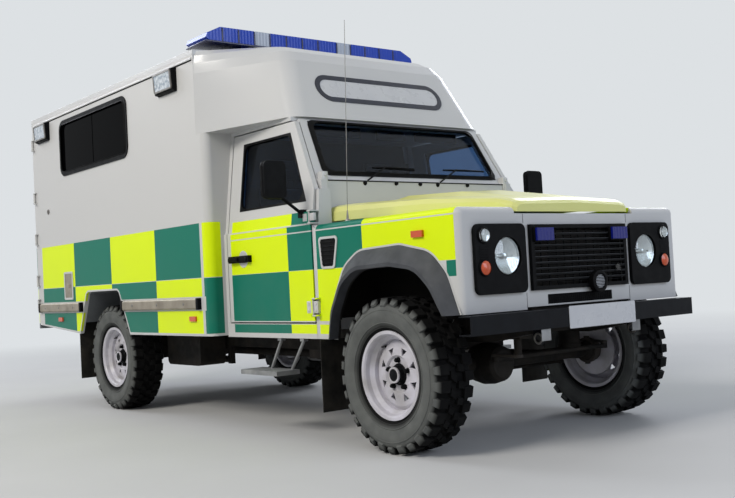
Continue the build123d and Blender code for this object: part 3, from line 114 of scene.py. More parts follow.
def per(millimetres):
    """A pattern's scale from the size of one of its repeats."""
    return 1000.0 / millimetres


def per_wave(millimetres):
    """A wave texture's scale from the length of one wave, which is a tenth of pi metres at scale 1."""
    return per(millimetres) * math.pi / 10


def patches(material, place, size_mm, detail, low=0.3, high=0.7, ends=(0.0, 1.0)):
    """Soft uneven patches of a given size: a noise whose middle range is spread between two ends."""
    noise = add(material, "TexNoise", {"Vector": place, "Scale": per(size_mm), "Detail": detail})
    return add(material, "MapRange", {"Value": noise, "From Min": low, "From Max": high,
                                      "To Min": ends[0], "To Max": ends[1]})


def relief(material, height, depth_mm, edge_mm=3.0):
    """A surface's bumps, on edges that catch the light as if they were rounded."""
    edge = add(material, "Bevel", {"Radius": edge_mm * MM}, samples=4)
    return add(material, "Bump", {"Height": height, "Distance": depth_mm * MM, "Normal": edge})


def steps(material, source, low_mm, high_mm, stops):
    """Colours that change at given millimetres: each stop is where its colour begins."""
    share = add(material, "MapRange", {"Value": source, "From Min": low_mm * MM, "From Max": high_mm * MM})
    ramp = add(material, "ValToRGB", {"Fac": share})
    ramp.color_ramp.interpolation = "CONSTANT"
    elements = ramp.color_ramp.elements
    elements[0].position = 0.0
    elements[0].color = linear(stops[0][1])
    elements.remove(elements[1])
    for begin, code in stops[1:]:
        element = elements.new((begin - low_mm) / (high_mm - low_mm))
        element.color = linear(code)
    return ramp


DUST, DUST_FOOT = "#8F8A80", 250


def road_dust(material, place, colour, top_mm, share):
    """Grey road dust that gathers low down, in patches, and thins out towards a height."""
    height = add(material, "SeparateXYZ", {"Vector": place}).outputs["Z"]
    low = add(material, "MapRange", {"Value": height, "From Min": DUST_FOOT * MM, "From Max": top_mm * MM,
                                     "To Min": share, "To Max": 0.0})
    patchy = patches(material, place, 140, 5.0, 0.35, 0.65, (0.3, 1.0))
    amount = add(material, "Math MULTIPLY", {0: low, 1: patchy})
    return add(material, "Mix", {0: amount, 6: colour, 7: DUST})


def body_paint(name, code, deep, dust_share=0.2):
    """Two-pack gloss enamel, sprayed: even colour, soft clear reflections and a faint orange peel."""
    material, place = start(name)
    colour = add(material, "Mix", {0: patches(material, place, 700, 2.0), 6: code, 7: deep})
    # orange peel is about 3 mm from bump to bump; it is drawn at 9 mm so that it shows
    peel = add(material, "TexNoise", {"Vector": place, "Scale": per(9), "Detail": 1.0})
    return surface(material, Base_Color=road_dust(material, place, colour, 1500, dust_share),
                   Roughness=0.34, Coat_Weight=0.3, Coat_Roughness=0.12,
                   Normal=relief(material, peel, 0.012))


def moulded(name, code, second_tone, rough=0.6, grain_mm=2.5, depth_mm=0.08, metallic=0.0, edge_mm=2.0,
            gloss=0.5):
    """Moulded, cast or rolled surface: two close tones, a fine pebbled grain and softened edges."""
    material, place = start(name)
    share = patches(material, place, 120, 4.0, 0.35, 0.7)
    colour = add(material, "Mix", {0: share, 6: code, 7: second_tone})
    roughness = patches(material, place, 45, 3.0, ends=(max(rough - 0.08, 0.0), rough + 0.08))
    grain = add(material, "TexNoise", {"Vector": place, "Scale": per(grain_mm), "Detail": 2.0})
    return surface(material, Base_Color=colour, Metallic=metallic, Specular_IOR_Level=gloss,
                   Roughness=roughness, Normal=relief(material, grain, depth_mm, edge_mm))


# Livery: reflective vinyl blocks over white paint

YELLOW = "#DDF400"
GREEN = "#00705C"
WHITE = "#C6C6C5"
UNDERSEAL = "#131313"
CABIN_GREY = "#202328"


def blocks(origin, *runs, gap=1.5):
    """Stops for vinyl blocks, each (begin, end, colour) from an origin, with white between them."""
    stops = [(-6000, WHITE)]
    for begin, end, colour in runs:
        stops += [(origin + begin + gap, colour), (origin + end - gap, WHITE)]
    return stops


def livery(name, rows, hidden):
    """White enamel with vinyl blocks. A row is an axis, its stops and its height range in millimetres.

    hidden is the colour of surfaces inside the body, and a function that finds them."""
    material, place = start(name)
    axes = add(material, "SeparateXYZ", {"Vector": place})
    ahead, up = axes.outputs["X"], axes.outputs["Z"]
    out = add(material, "Math ABSOLUTE", {0: axes.outputs["Y"]})
    colour = WHITE
    for axis, stops, bottom, top in rows:
        row = steps(material, ahead if axis == "ahead" else out, *VEHICLE_RANGE, stops)
        above = add(material, "Math GREATER_THAN", {0: up, 1: bottom * MM})
        below = add(material, "Math LESS_THAN", {0: up, 1: top * MM})
        level = add(material, "Math MULTIPLY", {0: above, 1: below})
        colour = add(material, "Mix", {0: level, 6: colour, 7: row})
    inner_code, find = hidden
    inside = find(material, ahead, out, up)
    colour = add(material, "Mix", {0: inside, 6: colour, 7: inner_code})
    # retroreflective film has cells about 3 mm wide, drawn at 7 mm so that they show as a faint grain
    cells = add(material, "TexVoronoi", {"Vector": place, "Scale": per(7)}, feature="DISTANCE_TO_EDGE")
    grain = add(material, "MapRange", {"Value": cells, "From Min": 0.0, "From Max": 0.1})
    return surface(material, Base_Color=road_dust(material, place, colour, 1200, 0.10), Roughness=0.42,
                   Specular_IOR_Level=0.14, Coat_Weight=0.05, Coat_Roughness=0.15,
                   Normal=relief(material, grain, 0.008))


# Where inner faces begin, in millimetres: the cab's below its leaning waist and behind its front, and
# its wheel opening with how far a face may turn to the side; the box's; the front wall's; the doors'
CAB_LINING, WAIST, WAIST_LEAN, LINING_FRONT = 822.5, 1150, 24, 495
ARCH_MIDDLE, ARCH_HALF, ARCH_TOP, EDGE_ON = -30, 450, 1020, 0.4
BOX_LINING = 930
WALL_HALF, WALL_FOOT, CAB_TOP, CAB_LEAN = 772, 600, 1800, 100
REAR_LINING = -4545


def inside_cab(material, ahead, out, up):
    """Door linings, the sills' inner faces and the wings' hollows: inside the skin and below the waist."""
    waist = add(material, "MapRange", {"Value": up, "From Min": (WAIST - 15) * MM, "From Max": WAIST * MM,
                                       "To Max": WAIST_LEAN * MM})
    skin = add(material, "Math ADD", {0: out, 1: waist})
    within = add(material, "Math LESS_THAN", {0: skin, 1: CAB_LINING * MM})
    low = add(material, "Math LESS_THAN", {0: up, 1: WAIST * MM})
    behind = add(material, "Math LESS_THAN", {0: ahead, 1: (FRONT_AXLE + LINING_FRONT) * MM})
    lower = add(material, "Math MULTIPLY", {0: within, 1: low})
    lining = add(material, "Math MULTIPLY", {0: lower, 1: behind})
    # the cut edge of the wheel opening faces the tyre, not the side
    normal = add(material, "TexCoord").outputs["Normal"]
    aside = add(material, "SeparateXYZ", {"Vector": normal}).outputs["Y"]
    turned = add(material, "Math ABSOLUTE", {0: aside})
    edge = add(material, "Math LESS_THAN", {0: turned, 1: EDGE_ON})
    opening = add(material, "Math COMPARE", {0: ahead, 1: (FRONT_AXLE + ARCH_MIDDLE) * MM,
                                              2: ARCH_HALF * MM})
    under = add(material, "Math LESS_THAN", {0: up, 1: ARCH_TOP * MM})
    arch = add(material, "Math MULTIPLY", {0: opening, 1: under})
    cut = add(material, "Math MULTIPLY", {0: arch, 1: edge})
    return add(material, "Math MAXIMUM", {0: lining, 1: cut})


def inside_box(material, ahead, out, up):
    """The inner faces of the box's side walls."""
    return add(material, "Math LESS_THAN", {0: out, 1: BOX_LINING * MM})


def inside_front_wall(material, ahead, out, up):
    """The wall behind the seats, between the cab's sides."""
    lean = add(material, "MapRange", {"Value": up, "From Min": WAIST * MM, "From Max": CAB_TOP * MM,
                                      "To Max": CAB_LEAN * MM})
    skin = add(material, "Math ADD", {0: out, 1: lean})
    within = add(material, "Math LESS_THAN", {0: skin, 1: WALL_HALF * MM})
    above = add(material, "Math GREATER_THAN", {0: up, 1: WALL_FOOT * MM})
    return add(material, "Math MULTIPLY", {0: within, 1: above})


def inside_rear_doors(material, ahead, out, up):
    """The inner faces of the rear doors."""
    return add(material, "Math GREATER_THAN", {0: ahead, 1: (FRONT_AXLE + REAR_LINING) * MM})


BOX_EDGES = [-4448, -3746, -3054, -2354, -1729]
CORNER_STRIP, CORNER_FACE, CORNER_RETURN = (-1699, -1642), (848, 922), (943, 960)
DOOR_BLOCKS = (10, 474), (474, 938)
BELOW_RAIL, ABOVE_RAIL, BOX_UPPER = (583, 727), (815, 930.5), (933.5, 1275)


def box_row(colours):
    """A row's blocks along the box and its narrow strip at the front corner."""
    runs = [(begin, end, colours[i % 2]) for i, (begin, end) in enumerate(zip(BOX_EDGES, BOX_EDGES[1:]))]
    return blocks(FRONT_AXLE, *runs, (*CORNER_STRIP, colours[0]))


def box_livery(name, axis, upper, lower, hidden):
    """The box's blocks: a tall row, and a lower one that the rub rail divides."""
    rows = [(axis, lower, *BELOW_RAIL), (axis, lower, *ABOVE_RAIL), (axis, upper, *BOX_UPPER)]
    return livery(name, rows, hidden)


def pair(runs, first, second):
    """Stops for two blocks out from the middle, each in its colour."""
    return blocks(0, (*runs[0], first), (*runs[1], second))


box_sides = box_livery("box_enamel_with_vinyl", "ahead", box_row((YELLOW, GREEN)),
                       box_row((GREEN, YELLOW)), (WHITE, inside_box))
FACE_AND_RETURN = CORNER_FACE, CORNER_RETURN
front_wall_livery = livery("front_wall_enamel_with_vinyl", [
    ("out", pair(FACE_AND_RETURN, GREEN, GREEN), BELOW_RAIL[0], ABOVE_RAIL[1]),
    ("out", pair(FACE_AND_RETURN, YELLOW, YELLOW), *BOX_UPPER)], (CABIN_GREY, inside_front_wall))
rear_door_livery = box_livery("rear_door_enamel_with_vinyl", "out", pair(DOOR_BLOCKS, YELLOW, GREEN),
                              pair(DOOR_BLOCKS, GREEN, YELLOW), (WHITE, inside_rear_doors))

CAB_REAR, DOOR_SPLIT, DOOR_LINE, WING_LINE, CAB_NOSE = -1545, -915, -664, -613, 464
LOW_RUNS = (CAB_REAR, DOOR_SPLIT, GREEN), (DOOR_SPLIT, DOOR_LINE, YELLOW), (WING_LINE, -300, YELLOW)
cab_low = blocks(FRONT_AXLE, *LOW_RUNS)
front_patch = blocks(FRONT_AXLE, *LOW_RUNS, (405, CAB_NOSE, GREEN))
cab_high = blocks(FRONT_AXLE, (CAB_REAR, DOOR_SPLIT, YELLOW), (DOOR_SPLIT, DOOR_LINE, GREEN),
                  (WING_LINE, -215, GREEN), (-215, CAB_NOSE, YELLOW))
cab_top = blocks(FRONT_AXLE, (CAB_REAR, -890, YELLOW), (-890, DOOR_LINE, GREEN))
cab_livery = livery("cab_enamel_with_vinyl", [
    ("ahead", cab_low, 585, 636), ("ahead", cab_low, 655, 936), ("ahead", front_patch, 862, 936),
    ("ahead", cab_high, 937.5, 1146), ("ahead", cab_high, 1153, 1186), ("ahead", cab_top, 1195, 1262)],
    (UNDERSEAL, inside_cab))

# Enamels, metals, plastics and rubber
white_enamel = body_paint("white_enamel", "#C6C6C5", "#BEBFC0")
bonnet_enamel = body_paint("bonnet_lime_enamel", "#E2E294", "#D6D67C", 0.0)
wheel_enamel = moulded("wheel_enamel", "#CBC9D3", "#A9A6A8", 0.38, 6, 0.03)
bumper_enamel = moulded("bumper_satin_black", "#0E0F13", "#15171B", 0.45, 3, 0.04, gloss=0.1)
chassis_paint = moulded("chassis_black_with_road_film", "#141312", "#28241F", 0.75, 6, 0.12, gloss=0.2)
castings = moulded("sand_cast_iron", "#2A2826", "#46413C", 0.78, 3, 0.25, gloss=0.25)
plated_steel = moulded("zinc_plated_steel", "#8E8C88", "#6F6B66", 0.42, 5, 0.03, 0.9)
step_steel = moulded("galvanised_step_steel", "#9A9B9B", "#6E6F70", 0.55, 7, 0.10, 0.5)
anodised_rail = moulded("weathered_anodised_aluminium", "#A39A8B", "#857D70", 0.5, 4, 0.05, 0.6)
black_plastic = moulded("black_grained_abs", "#070709", "#0C0D0F", 0.55, 2.5, 0.10, gloss=0.08)
flare_plastic = moulded("grey_black_arch_plastic", "#3C3E42", "#4B4D51", 0.62, 3, 0.12, gloss=0.25)
cabin_plastic = moulded("cabin_trim_plastic", "#1B1C1F", "#26272A", 0.65, 2.5, 0.1, gloss=0.25)
floor_vinyl = moulded("floor_vinyl", "#6D7073", "#5E6164", 0.6, 4, 0.06)
flap_rubber = moulded("mud_flap_rubber", "#131312", "#322F2A", 0.82, 5, 0.15, gloss=0.2)
seal_rubber = moulded("seal_rubber", "#070708", "#0C0C0D", 0.6, 3, 0.04, gloss=0.1)
mirror_silver = moulded("mirror_silver", "#C9CDD0", "#C1C6CA", 0.08, 60, 0.0, 1.0)
chrome = moulded("lamp_reflector_silver", "#D9DCDF", "#C9CDD1", 0.12, 30, 0.0, 1.0)
plate_white = moulded("plate_white_acrylic", "#C6C7C9", "#C1C2C5", 0.3, 5, 0.02)
plate_yellow = moulded("plate_yellow_acrylic", "#D9B23A", "#CFA62E", 0.3, 5, 0.02)
sign_rim_blue = moulded("sign_dark_blue_rim", "#0D1222", "#141A2C", 0.4, 4, 0.02)
bar_blue = moulded("dark_blue_polycarbonate", "#0A1238", "#0E1744", 0.25, 6, 0.03)
horn_grey = moulded("horn_grey_enamel", "#B2B5B9", "#7D8084", 0.5, 8, 0.2)
# painted highlight: the grille slats' front edges in a lighter grey than the grille, standing for the light
# they catch
slat_highlight_grey = moulded("painted_highlight_grille_slat_edge", "#45474A", "#202224", 0.6, 8, 0.1, gloss=0.1)


def tyre_rubber_finish():
    """Tyre rubber, moulded: near black on the tread, greyed with dust on the sidewall."""
    material, place = start("tyre_rubber")
    left = add(material, "SeparateXYZ", {"Vector": place}).outputs["Y"]
    out = add(material, "Math ABSOLUTE", {0: left})
    from_middle = add(material, "Math SUBTRACT", {0: out, 1: WHEEL_OUT * MM})
    across = add(material, "Math ABSOLUTE", {0: from_middle})
    sidewall = add(material, "MapRange", {"Value": across, "From Min": 0.102, "From Max": 0.115})
    grime = patches(material, place, 90, 4.0)
    tread = add(material, "Mix", {0: grime, 6: "#0B0B0C", 7: "#191919"})
    dusty = add(material, "Mix", {0: grime, 6: "#585A59", 7: "#686A68"})
    colour = add(material, "Mix", {0: sidewall, 6: tread, 7: dusty})
    pits = add(material, "TexNoise", {"Vector": place, "Scale": per(4), "Detail": 3.0})
    return surface(material, Base_Color=colour, Roughness=0.85, Specular_IOR_Level=0.08,
                   Normal=relief(material, pits, 0.15, 1.5))


def clear_pane(name, tint, roughness=0.0, transmission=1.0, gloss=0.5, ior=1.5):
    """Float glass or clear acrylic: smooth, with the tint of its thickness and a faint smear.

    Cab glass takes a lower IOR than real glass, so that the pale room's reflection doesn't hide the cab."""
    material, place = start(name)
    smear = patches(material, place, 240, 4.0, 0.3, 0.8, (roughness, roughness + 0.03))
    return surface(material, Base_Color=tint, Transmission_Weight=transmission, Roughness=smear, IOR=ior,
                   Specular_IOR_Level=gloss)


tyre_rubber = tyre_rubber_finish()
windscreen_glass = clear_pane("laminated_windscreen_glass", "#93A5BC", ior=1.24)
door_glass = clear_pane("tempered_door_glass", "#6685A8", ior=1.15)
privacy_glass = clear_pane("dark_privacy_glass", "#040405", 0.02, 0.0, 0.012)
lamp_glass = clear_pane("pressed_lamp_glass", "#E8ECEC")


def marker_acrylic_finish():
    """Moulded acrylic lenses: amber at the sides and front, red at the back, with fine prisms inside."""
    material, place = start("amber_and_red_acrylic")
    ahead = add(material, "SeparateXYZ", {"Vector": place}).outputs["X"]
    tone = steps(material, ahead, *VEHICLE_RANGE, [(-6000, "#8E1014"), (FRONT_AXLE + BOX_REAR, "#C94A14")])
    prisms = add(material, "TexVoronoi", {"Vector": place, "Scale": per(9)})
    bumps = add(material, "Bump", {"Height": prisms, "Distance": 0.5 * MM})
    return surface(material, Base_Color=tone, Roughness=0.2, Coat_Weight=0.4, Normal=bumps)


def bar_acrylic_finish():
    """Ribbed acrylic: blue and clear lengths on the roof's bar, dark blue below, upright prisms inside."""
    material, place = start("blue_and_clear_acrylic")
    axes = add(material, "SeparateXYZ", {"Vector": place}).outputs
    on_roof = add(material, "Math GREATER_THAN", {0: axes["Z"], 1: 2.0})
    lengths = steps(material, axes["Y"], -1000.0, 1000.0, [
        (-1000, "#0C3FB4"), (-500, "#B4BDCB"), (-380, "#0C3FB4"), (170, "#B4BDCB"), (290, "#0C3FB4")])
    tone = add(material, "Mix", {0: on_roof, 6: "#0B1670", 7: lengths})
    prisms = add(material, "TexWave", {"Vector": place, "Scale": per_wave(23.687)}, bands_direction="Y")
    bumps = add(material, "Bump", {"Height": prisms, "Distance": 1.2 * MM})
    return surface(material, Base_Color=tone, Roughness=0.24, Specular_IOR_Level=0.3, Coat_Weight=0.15,
                   Normal=bumps)


def fluted_lens_finish():
    """Pressed lamp lens, milky with the reflector behind it: upright flutes 20 mm apart, and lighter patches
    that are painted sparkle highlights.
    """
    material, place = start("fluted_lamp_lens")
    flutes = add(material, "TexWave", {"Vector": place, "Scale": per_wave(19.739)}, bands_direction="X")
    # painted highlights: lighter patches 22 mm across stand for light sparkling in the lens
    painted_sparkle = patches(material, place, 22, 2.0, 0.35, 0.65)
    tone = add(material, "Mix", {0: painted_sparkle, 6: "#8E9CAB", 7: "#D2D9E0"})
    bumps = add(material, "Bump", {"Height": flutes, "Distance": 1.0 * MM})
    return surface(material, Base_Color=tone, Roughness=0.18, Coat_Weight=0.5, Normal=bumps)


def seat_cloth_finish():
    """Woven seat cloth: dark grey threads, 1.2 mm apart, drawn at 8 mm so that they show."""
    material, place = start("woven_seat_cloth")
    warp, weft = (add(material, "TexWave", {"Vector": place, "Scale": per_wave(7.8957)},
                      bands_direction=way) for way in "YZ")
    weave = add(material, "Math MULTIPLY", {0: warp, 1: weft})
    colour = add(material, "Mix", {0: weave, 6: "#1D1F24", 7: "#34383F"})
    bumps = add(material, "Bump", {"Height": weave, "Distance": 0.5 * MM})
    return surface(material, Base_Color=colour, Roughness=0.9, Sheen_Weight=0.3, Normal=bumps)


amber_acrylic = marker_acrylic_finish()
blue_acrylic = bar_acrylic_finish()
fluted_lens = fluted_lens_finish()
seat_cloth = seat_cloth_finish()

NODE_FINISH = (
    (chassis_paint, "frame_rails crossmembers front_axle rear_axle suspension propshafts fuel_tank "
                    "track_rod drag_link"),
    (castings, "engine_and_radiator knuckle_right knuckle_left drop_arm"),
    (plated_steel, "exhaust"), (bumper_enamel, "front_bumper"), (flare_plastic, "arch_flares"),
    (cab_livery, "front_wings cab_floor door_right door_left"),
    (white_enamel, "front_panel bulkhead cab_roof box_roof pod"),
    (black_plastic, "grille mirror_right mirror_left"), (lamp_glass, "white_lamps"),
    (amber_acrylic, "marker_lamps"), (blue_acrylic, "blue_lights"), (windscreen_glass, "windscreen"),
    (cabin_plastic, "dashboard steering_wheel"), (seat_cloth, "seats"), (floor_vinyl, "box_floor"),
    (box_sides, "box_wall_right box_wall_left"), (front_wall_livery, "box_front_wall"),
    (privacy_glass, "side_windows rear_glass_right rear_glass_left"), (anodised_rail, "rub_rails"),
    (flap_rubber, "mud_flaps"), (step_steel, "steps"), (bonnet_enamel, "bonnet"),
    (door_glass, "door_glass_right door_glass_left"),
    (rear_door_livery, "rear_door_right rear_door_left"),
    (tyre_rubber, " ".join("tyre_" + corner for corner in CORNERS)),
    (wheel_enamel, " ".join("wheel_" + corner for corner in CORNERS)),
)
for finish, node_names in NODE_FINISH:
    for node_name in node_names.split():
        worn_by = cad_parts[node_name].data
        worn_by.materials.clear()
        worn_by.materials.append(finish)


# Mesh helpers

CREASE = math.radians(32)


def placed(name, data):
    """A new object in the scene."""
    thing = bpy.data.objects.new(name, data)
    bpy.context.scene.collection.objects.link(thing)
    return thing


def to_shape(name, mesh):
    """Turns an edited mesh into mesh data."""
    shape = bpy.data.meshes.new(name)
    mesh.to_mesh(shape)
    mesh.free()
    return shape


def keep(name, mesh, material, body="body", smooth=True):
    """Makes a mesh into a named piece that rides on a body, in the slot of its material."""
    bmesh.ops.recalc_face_normals(mesh, faces=mesh.faces)
    shape = to_shape(name, mesh)
    shape.materials.append(material)
    shape.shade_flat()
    if smooth:
        shape.shade_smooth()
        shape.set_sharp_from_angle(angle=CREASE)
    piece = placed(name, shape)
    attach(piece, body)
    return piece


def make(name, material, *forms, body="body", smooth=True):
    """Makes a piece of several forms, each written as a helper below and then what it takes."""
    mesh = bmesh.new()
    for helper, *values in forms:
        helper(mesh, *values)
    return keep(name, mesh, material, body, smooth)


def shift(ahead, left, up):
    """A vector in metres, from millimetres."""
    return Vector((ahead, left, up)) * MM


def round_axis(first, second, share):
    """A direction that turns with a share of a full turn, in the plane of two others."""
    return first * math.cos(FULL_TURN * share) + second * math.sin(FULL_TURN * share)


def sleeve(mesh, outlines, closed=False):
    """Adds a skin over outlines with as many points each. It closes on itself or has a face at each end."""
    rings = [[mesh.verts.new(p) for p in outline] for outline in outlines]
    faces = [] if closed else [mesh.faces.new(rings[0][::-1]), mesh.faces.new(rings[-1])]
    for first, second in zip(rings, rings[1:] + rings[:1] if closed else rings[1:]):
        for i, corner in enumerate(first):
            j = (i + 1) % len(first)
            faces.append(mesh.faces.new((corner, first[j], second[j], second[i])))
    return faces


def prism(mesh, outline, lift, bevel=0.0):
    """Adds a closed prism: an outline of points in space, carried along a vector."""
    faces = sleeve(mesh, (outline, [p + lift for p in outline]))
    if bevel:
        edges = list({e for f in faces for e in f.edges})
        bmesh.ops.bevel(mesh, geom=edges, offset=bevel * MM, segments=2, profile=0.6, affect="EDGES")


def box(mesh, low, high, bevel=0.0):
    """Adds a block between two corners given as (ahead, left, up)."""
    a, b = at(*low), at(*high)
    outline = [Vector((x, y, a.z)) for x, y in ((a.x, a.y), (b.x, a.y), (b.x, b.y), (a.x, b.y))]
    prism(mesh, outline, Vector((0, 0, b.z - a.z)), bevel)


def side_box(mesh, side, low, high, bevel=0.0):
    """Adds a block on one side of the vehicle, its corners given as (ahead, out, up)."""
    box(mesh, (low[0], side * low[1], low[2]), (high[0], side * high[1], high[2]), bevel)


def spun(mesh, centre, axis, profile, steps_round=40):
    """Adds a turned form: (along, radius) points in millimetres about an axis through a place."""
    axis = Vector(axis).normalized()
    side = axis.orthogonal().normalized()
    other = axis.cross(side)
    rings = []
    for along, radius in profile:
        middle = centre + axis * along * MM
        rings.append([mesh.verts.new(middle + round_axis(side, other, i / steps_round) * radius * MM)
                      for i in range(steps_round if radius else 1)])
    for first, second in zip(rings, rings[1:]):
        for i in range(steps_round):
            j = (i + 1) % steps_round
            loop = dict.fromkeys([first[i % len(first)], first[j % len(first)],
                                  second[j % len(second)], second[i % len(second)]])
            if len(loop) > 2:
                mesh.faces.new(list(loop))


def pipe(mesh, points, radius_mm, closed=False, sides=10):
    """Adds a round bead or rod along points in space."""
    count = len(points)
    rings = []
    for i, point in enumerate(points):
        before = points[i - 1] if (i > 0 or closed) else point
        after = points[(i + 1) % count] if (i < count - 1 or closed) else point
        along = (after - before).normalized()
        across = along.cross(Vector((0.31, 0.52, 0.79))).normalized()
        other = along.cross(across)
        rings.append([point + round_axis(across, other, k / sides) * radius_mm * MM for k in range(sides)])
    sleeve(mesh, rings, closed)


def band(mesh, outer, inner, lift):
    """Adds a flat closed ring between two outlines with as many points each, carried along a vector."""
    sleeve(mesh, (outer, [p + lift for p in outer], [p + lift for p in inner], inner), True)


def ribbon(mesh, path, wide, raised):
    """Adds a flat strip on one side of a line, to the left of its run, raised by a vector."""
    rings = []
    for i, point in enumerate(path):
        along = (path[min(i + 1, len(path) - 1)] - path[max(i - 1, 0)]).normalized()
        aside = Vector((-along.z, 0, along.x)) * wide * MM
        rings.append((point, point + aside, point + aside + raised, point + raised))
    sleeve(mesh, rings)


# Outlines of flat forms


def rounded(corners, radius, steps_round=6, closed=True):
    """Corner points of a flat outline in space, or of an open line, with each corner rounded."""
    points = []
    count = len(corners)
    for i, corner in enumerate(corners):
        if not closed and i in (0, count - 1):
            points.append(corner)
            continue
        to_last = (corners[i - 1] - corner).normalized()
        to_next = (corners[(i + 1) % count] - corner).normalized()
        half = to_last.angle(to_next) / 2
        back = radius * MM / math.tan(half)
        centre = corner + (to_last + to_next).normalized() * (radius * MM / math.sin(half))
        first, last = corner + to_last * back - centre, corner + to_next * back - centre
        spread = first.angle(last)
        for k in range(steps_round + 1):
            share = k / steps_round
            points.append(centre + (first * math.sin((1 - share) * spread) + last * math.sin(share * spread))
                          / math.sin(spread))
    return points


def rect(first_low, second_low, first_high, second_high, grow=0):
    """The four corners of a rectangle, moved outwards by as much on each side."""
    first, second = (first_low - grow, first_high + grow), (second_low - grow, second_high + grow)
    return [(first[0], second[0]), (first[1], second[0]), (first[1], second[1]), (first[0], second[1])]


def on_side(left, corners):
    """Corners given as (ahead, up), on a plane along the vehicle."""
    return [at(x, left, z) for x, z in corners]


def on_front(ahead, side, corners):
    """Corners given as (out, up), on a plane across the vehicle."""
    return [at(ahead, side * y, z) for y, z in corners]


# Tyres: a mud terrain tread, the same on all four wheels
TYRE_R = 388.0
PITCHES = 30
TYRE_STEPS = 90
# radii of the shoulder lugs' feet and tops, and of the centre blocks' feet and tops
LUG_FOOT, LUG_TOP, LUG_EDGE = 370, 387.6, 384.5
BLOCK_FOOT, BLOCK_TOP = 371, 387.8
CARCASS = [
    # across the tyre, radius
    (88, 208), (92, 224), (101, 236), (113, 262), (121, 290), (124, 305), (123, 322), (116, 343), (107, 353),
    (98, 361), (60, 369), (0, 371),
]
SIDEWALL_RIBS = (
    # radius, across the tyre
    (240, 104), (262, 114.5), (326, 122.5),
)
WHEEL_NUT = [(0, 15), (4, 15), (6, 12), (20, 11.5), (24, 8), (24, 0)]
HUB_CAP = [(0, 56), (8, 55), (12, 46), (34, 44), (38, 40), (44, 38), (48, 24), (48, 0)]
HUB_SCREW = [(0, 6), (6, 6), (6, 0)]
VALVE = [(-8, 6), (4, 6), (6, 4), (26, 4), (26, 0)]


def add_lug(mesh, turn, side, foot, top):
    """Adds one rubber block of one half of the tread. Its corners are (around, across, radius)."""
    def spot(around, across, radius):
        angle = turn + around / TYRE_R
        return shift(math.cos(angle) * radius, side * across, math.sin(angle) * radius)
    sleeve(mesh, [[spot(*corner) for corner in corners] for corners in (foot, top)])


def add_tread(mesh):
    """Shoulder lugs of two lengths that wrap onto the sidewall, and two rows of slanted centre blocks."""
    pitch = FULL_TURN / PITCHES
    for i in range(PITCHES):
        # every other lug is wider and reaches further in and further down the sidewall
        reach, low, wide = (4, 342, 29) if i % 2 else (0, 352, 25)
        for side in (-1, 1):
            turn = i * pitch + (0 if side > 0 else pitch / 2)
            add_lug(mesh, turn, side,
                    [(-wide - 2, 49 - reach, LUG_FOOT), (wide + 2, 45 - reach, LUG_FOOT),
                     (wide, 108, LUG_FOOT - 10), (-wide, 108, LUG_FOOT - 10)],
                    [(-wide, 52 - reach, LUG_TOP), (wide, 48 - reach, LUG_TOP),
                     (wide - 3, 104, LUG_EDGE), (-wide + 3, 104, LUG_EDGE)])
            add_lug(mesh, turn, side,
                    [(-wide, 98, LUG_FOOT - 4), (wide, 98, LUG_FOOT - 4), (wide - 6, 116, low - 4),
                     (-wide + 6, 116, low - 4)],
                    [(-wide + 4, 103, LUG_EDGE - 0.5), (wide - 4, 103, LUG_EDGE - 0.5),
                     (wide - 9, 123, low + 6), (-wide + 9, 123, low + 6)])
            slant = side * 8
            add_lug(mesh, turn + pitch / 2, side,
                    [(-22 + slant, 4, BLOCK_FOOT), (16 + slant, 3, BLOCK_FOOT),
                     (26 - slant, 43, BLOCK_FOOT), (-12 - slant, 45, BLOCK_FOOT)],
                    [(-20 + slant, 6, BLOCK_TOP), (14 + slant, 5, BLOCK_TOP),
                     (24 - slant, 40, BLOCK_TOP), (-10 - slant, 42, BLOCK_TOP)])


def add_rib(mesh, side, radius, out):
    """Adds one round rib of a sidewall."""
    spun(mesh, ORIGIN, ASIDE, [(side * (out - 4), radius - 4), (side * (out + 1.5), radius - 2),
                               (side * (out + 1.5), radius + 2), (side * (out - 4), radius + 5)], TYRE_STEPS)


def move(mesh, vector):
    """Moves all that a mesh has so far."""
    bmesh.ops.translate(mesh, verts=mesh.verts, vec=vector)


for corner in CORNERS:
    side = SIDES[corner.split("_")[1]]
    hub = at(0.0 if corner.startswith("front") else REAR_AXLE_AHEAD, side * WHEEL_OUT, TYRE_R)
    out = ASIDE * side
    wheel = "wheel_" + corner
    tyre = make("tyre_tread_" + corner, tyre_rubber,
                (spun, ORIGIN, ASIDE, CARCASS + [(-across, radius) for across, radius in CARCASS[-2::-1]],
                 TYRE_STEPS),
                *[(add_rib, rib_side, *rib) for rib in SIDEWALL_RIBS for rib_side in (-1, 1)],
                (add_tread,), (move, hub), body=wheel)
    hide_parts("tyre_" + corner)

    def on_wheel(share, radius, raised):
        """A place on the wheel's face, at a share of a turn round the hub."""
        return hub + round_axis(FORWARD, UPWARD, share) * radius * MM + out * raised * MM

    make("wheel_nuts_" + corner, black_plastic,
         *[(spun, on_wheel(i / 5 + 0.3 / FULL_TURN, 72, 34), out, WHEEL_NUT, 6) for i in range(5)],
         body=wheel, smooth=False)
    make("hub_cap_" + corner, black_plastic, (spun, hub + out * 26 * MM, out, HUB_CAP, 32),
         *[(spun, on_wheel(i / 6, 47, 33), out, HUB_SCREW, 6) for i in range(6)], body=wheel)
    make("tyre_valve_" + corner, seal_rubber,
         (spun, on_wheel(2.2 / FULL_TURN, 168, 30), out, VALVE, 12), body=wheel)

# Windscreen and its rubbers
SCREEN_FOOT, SCREEN_FOOT_UP = -701, 1463
SCREEN_UP, SCREEN_OUT = Vector((-0.489, 0, 0.872)), Vector((0.872, 0, 0.489))


def on_screen(across, up, proud=0.0):
    """A place on the windscreen, from its foot: across, up the slope and proud of the frame's face."""
    return at(SCREEN_FOOT, across, SCREEN_FOOT_UP) + (SCREEN_UP * up + SCREEN_OUT * proud) * MM


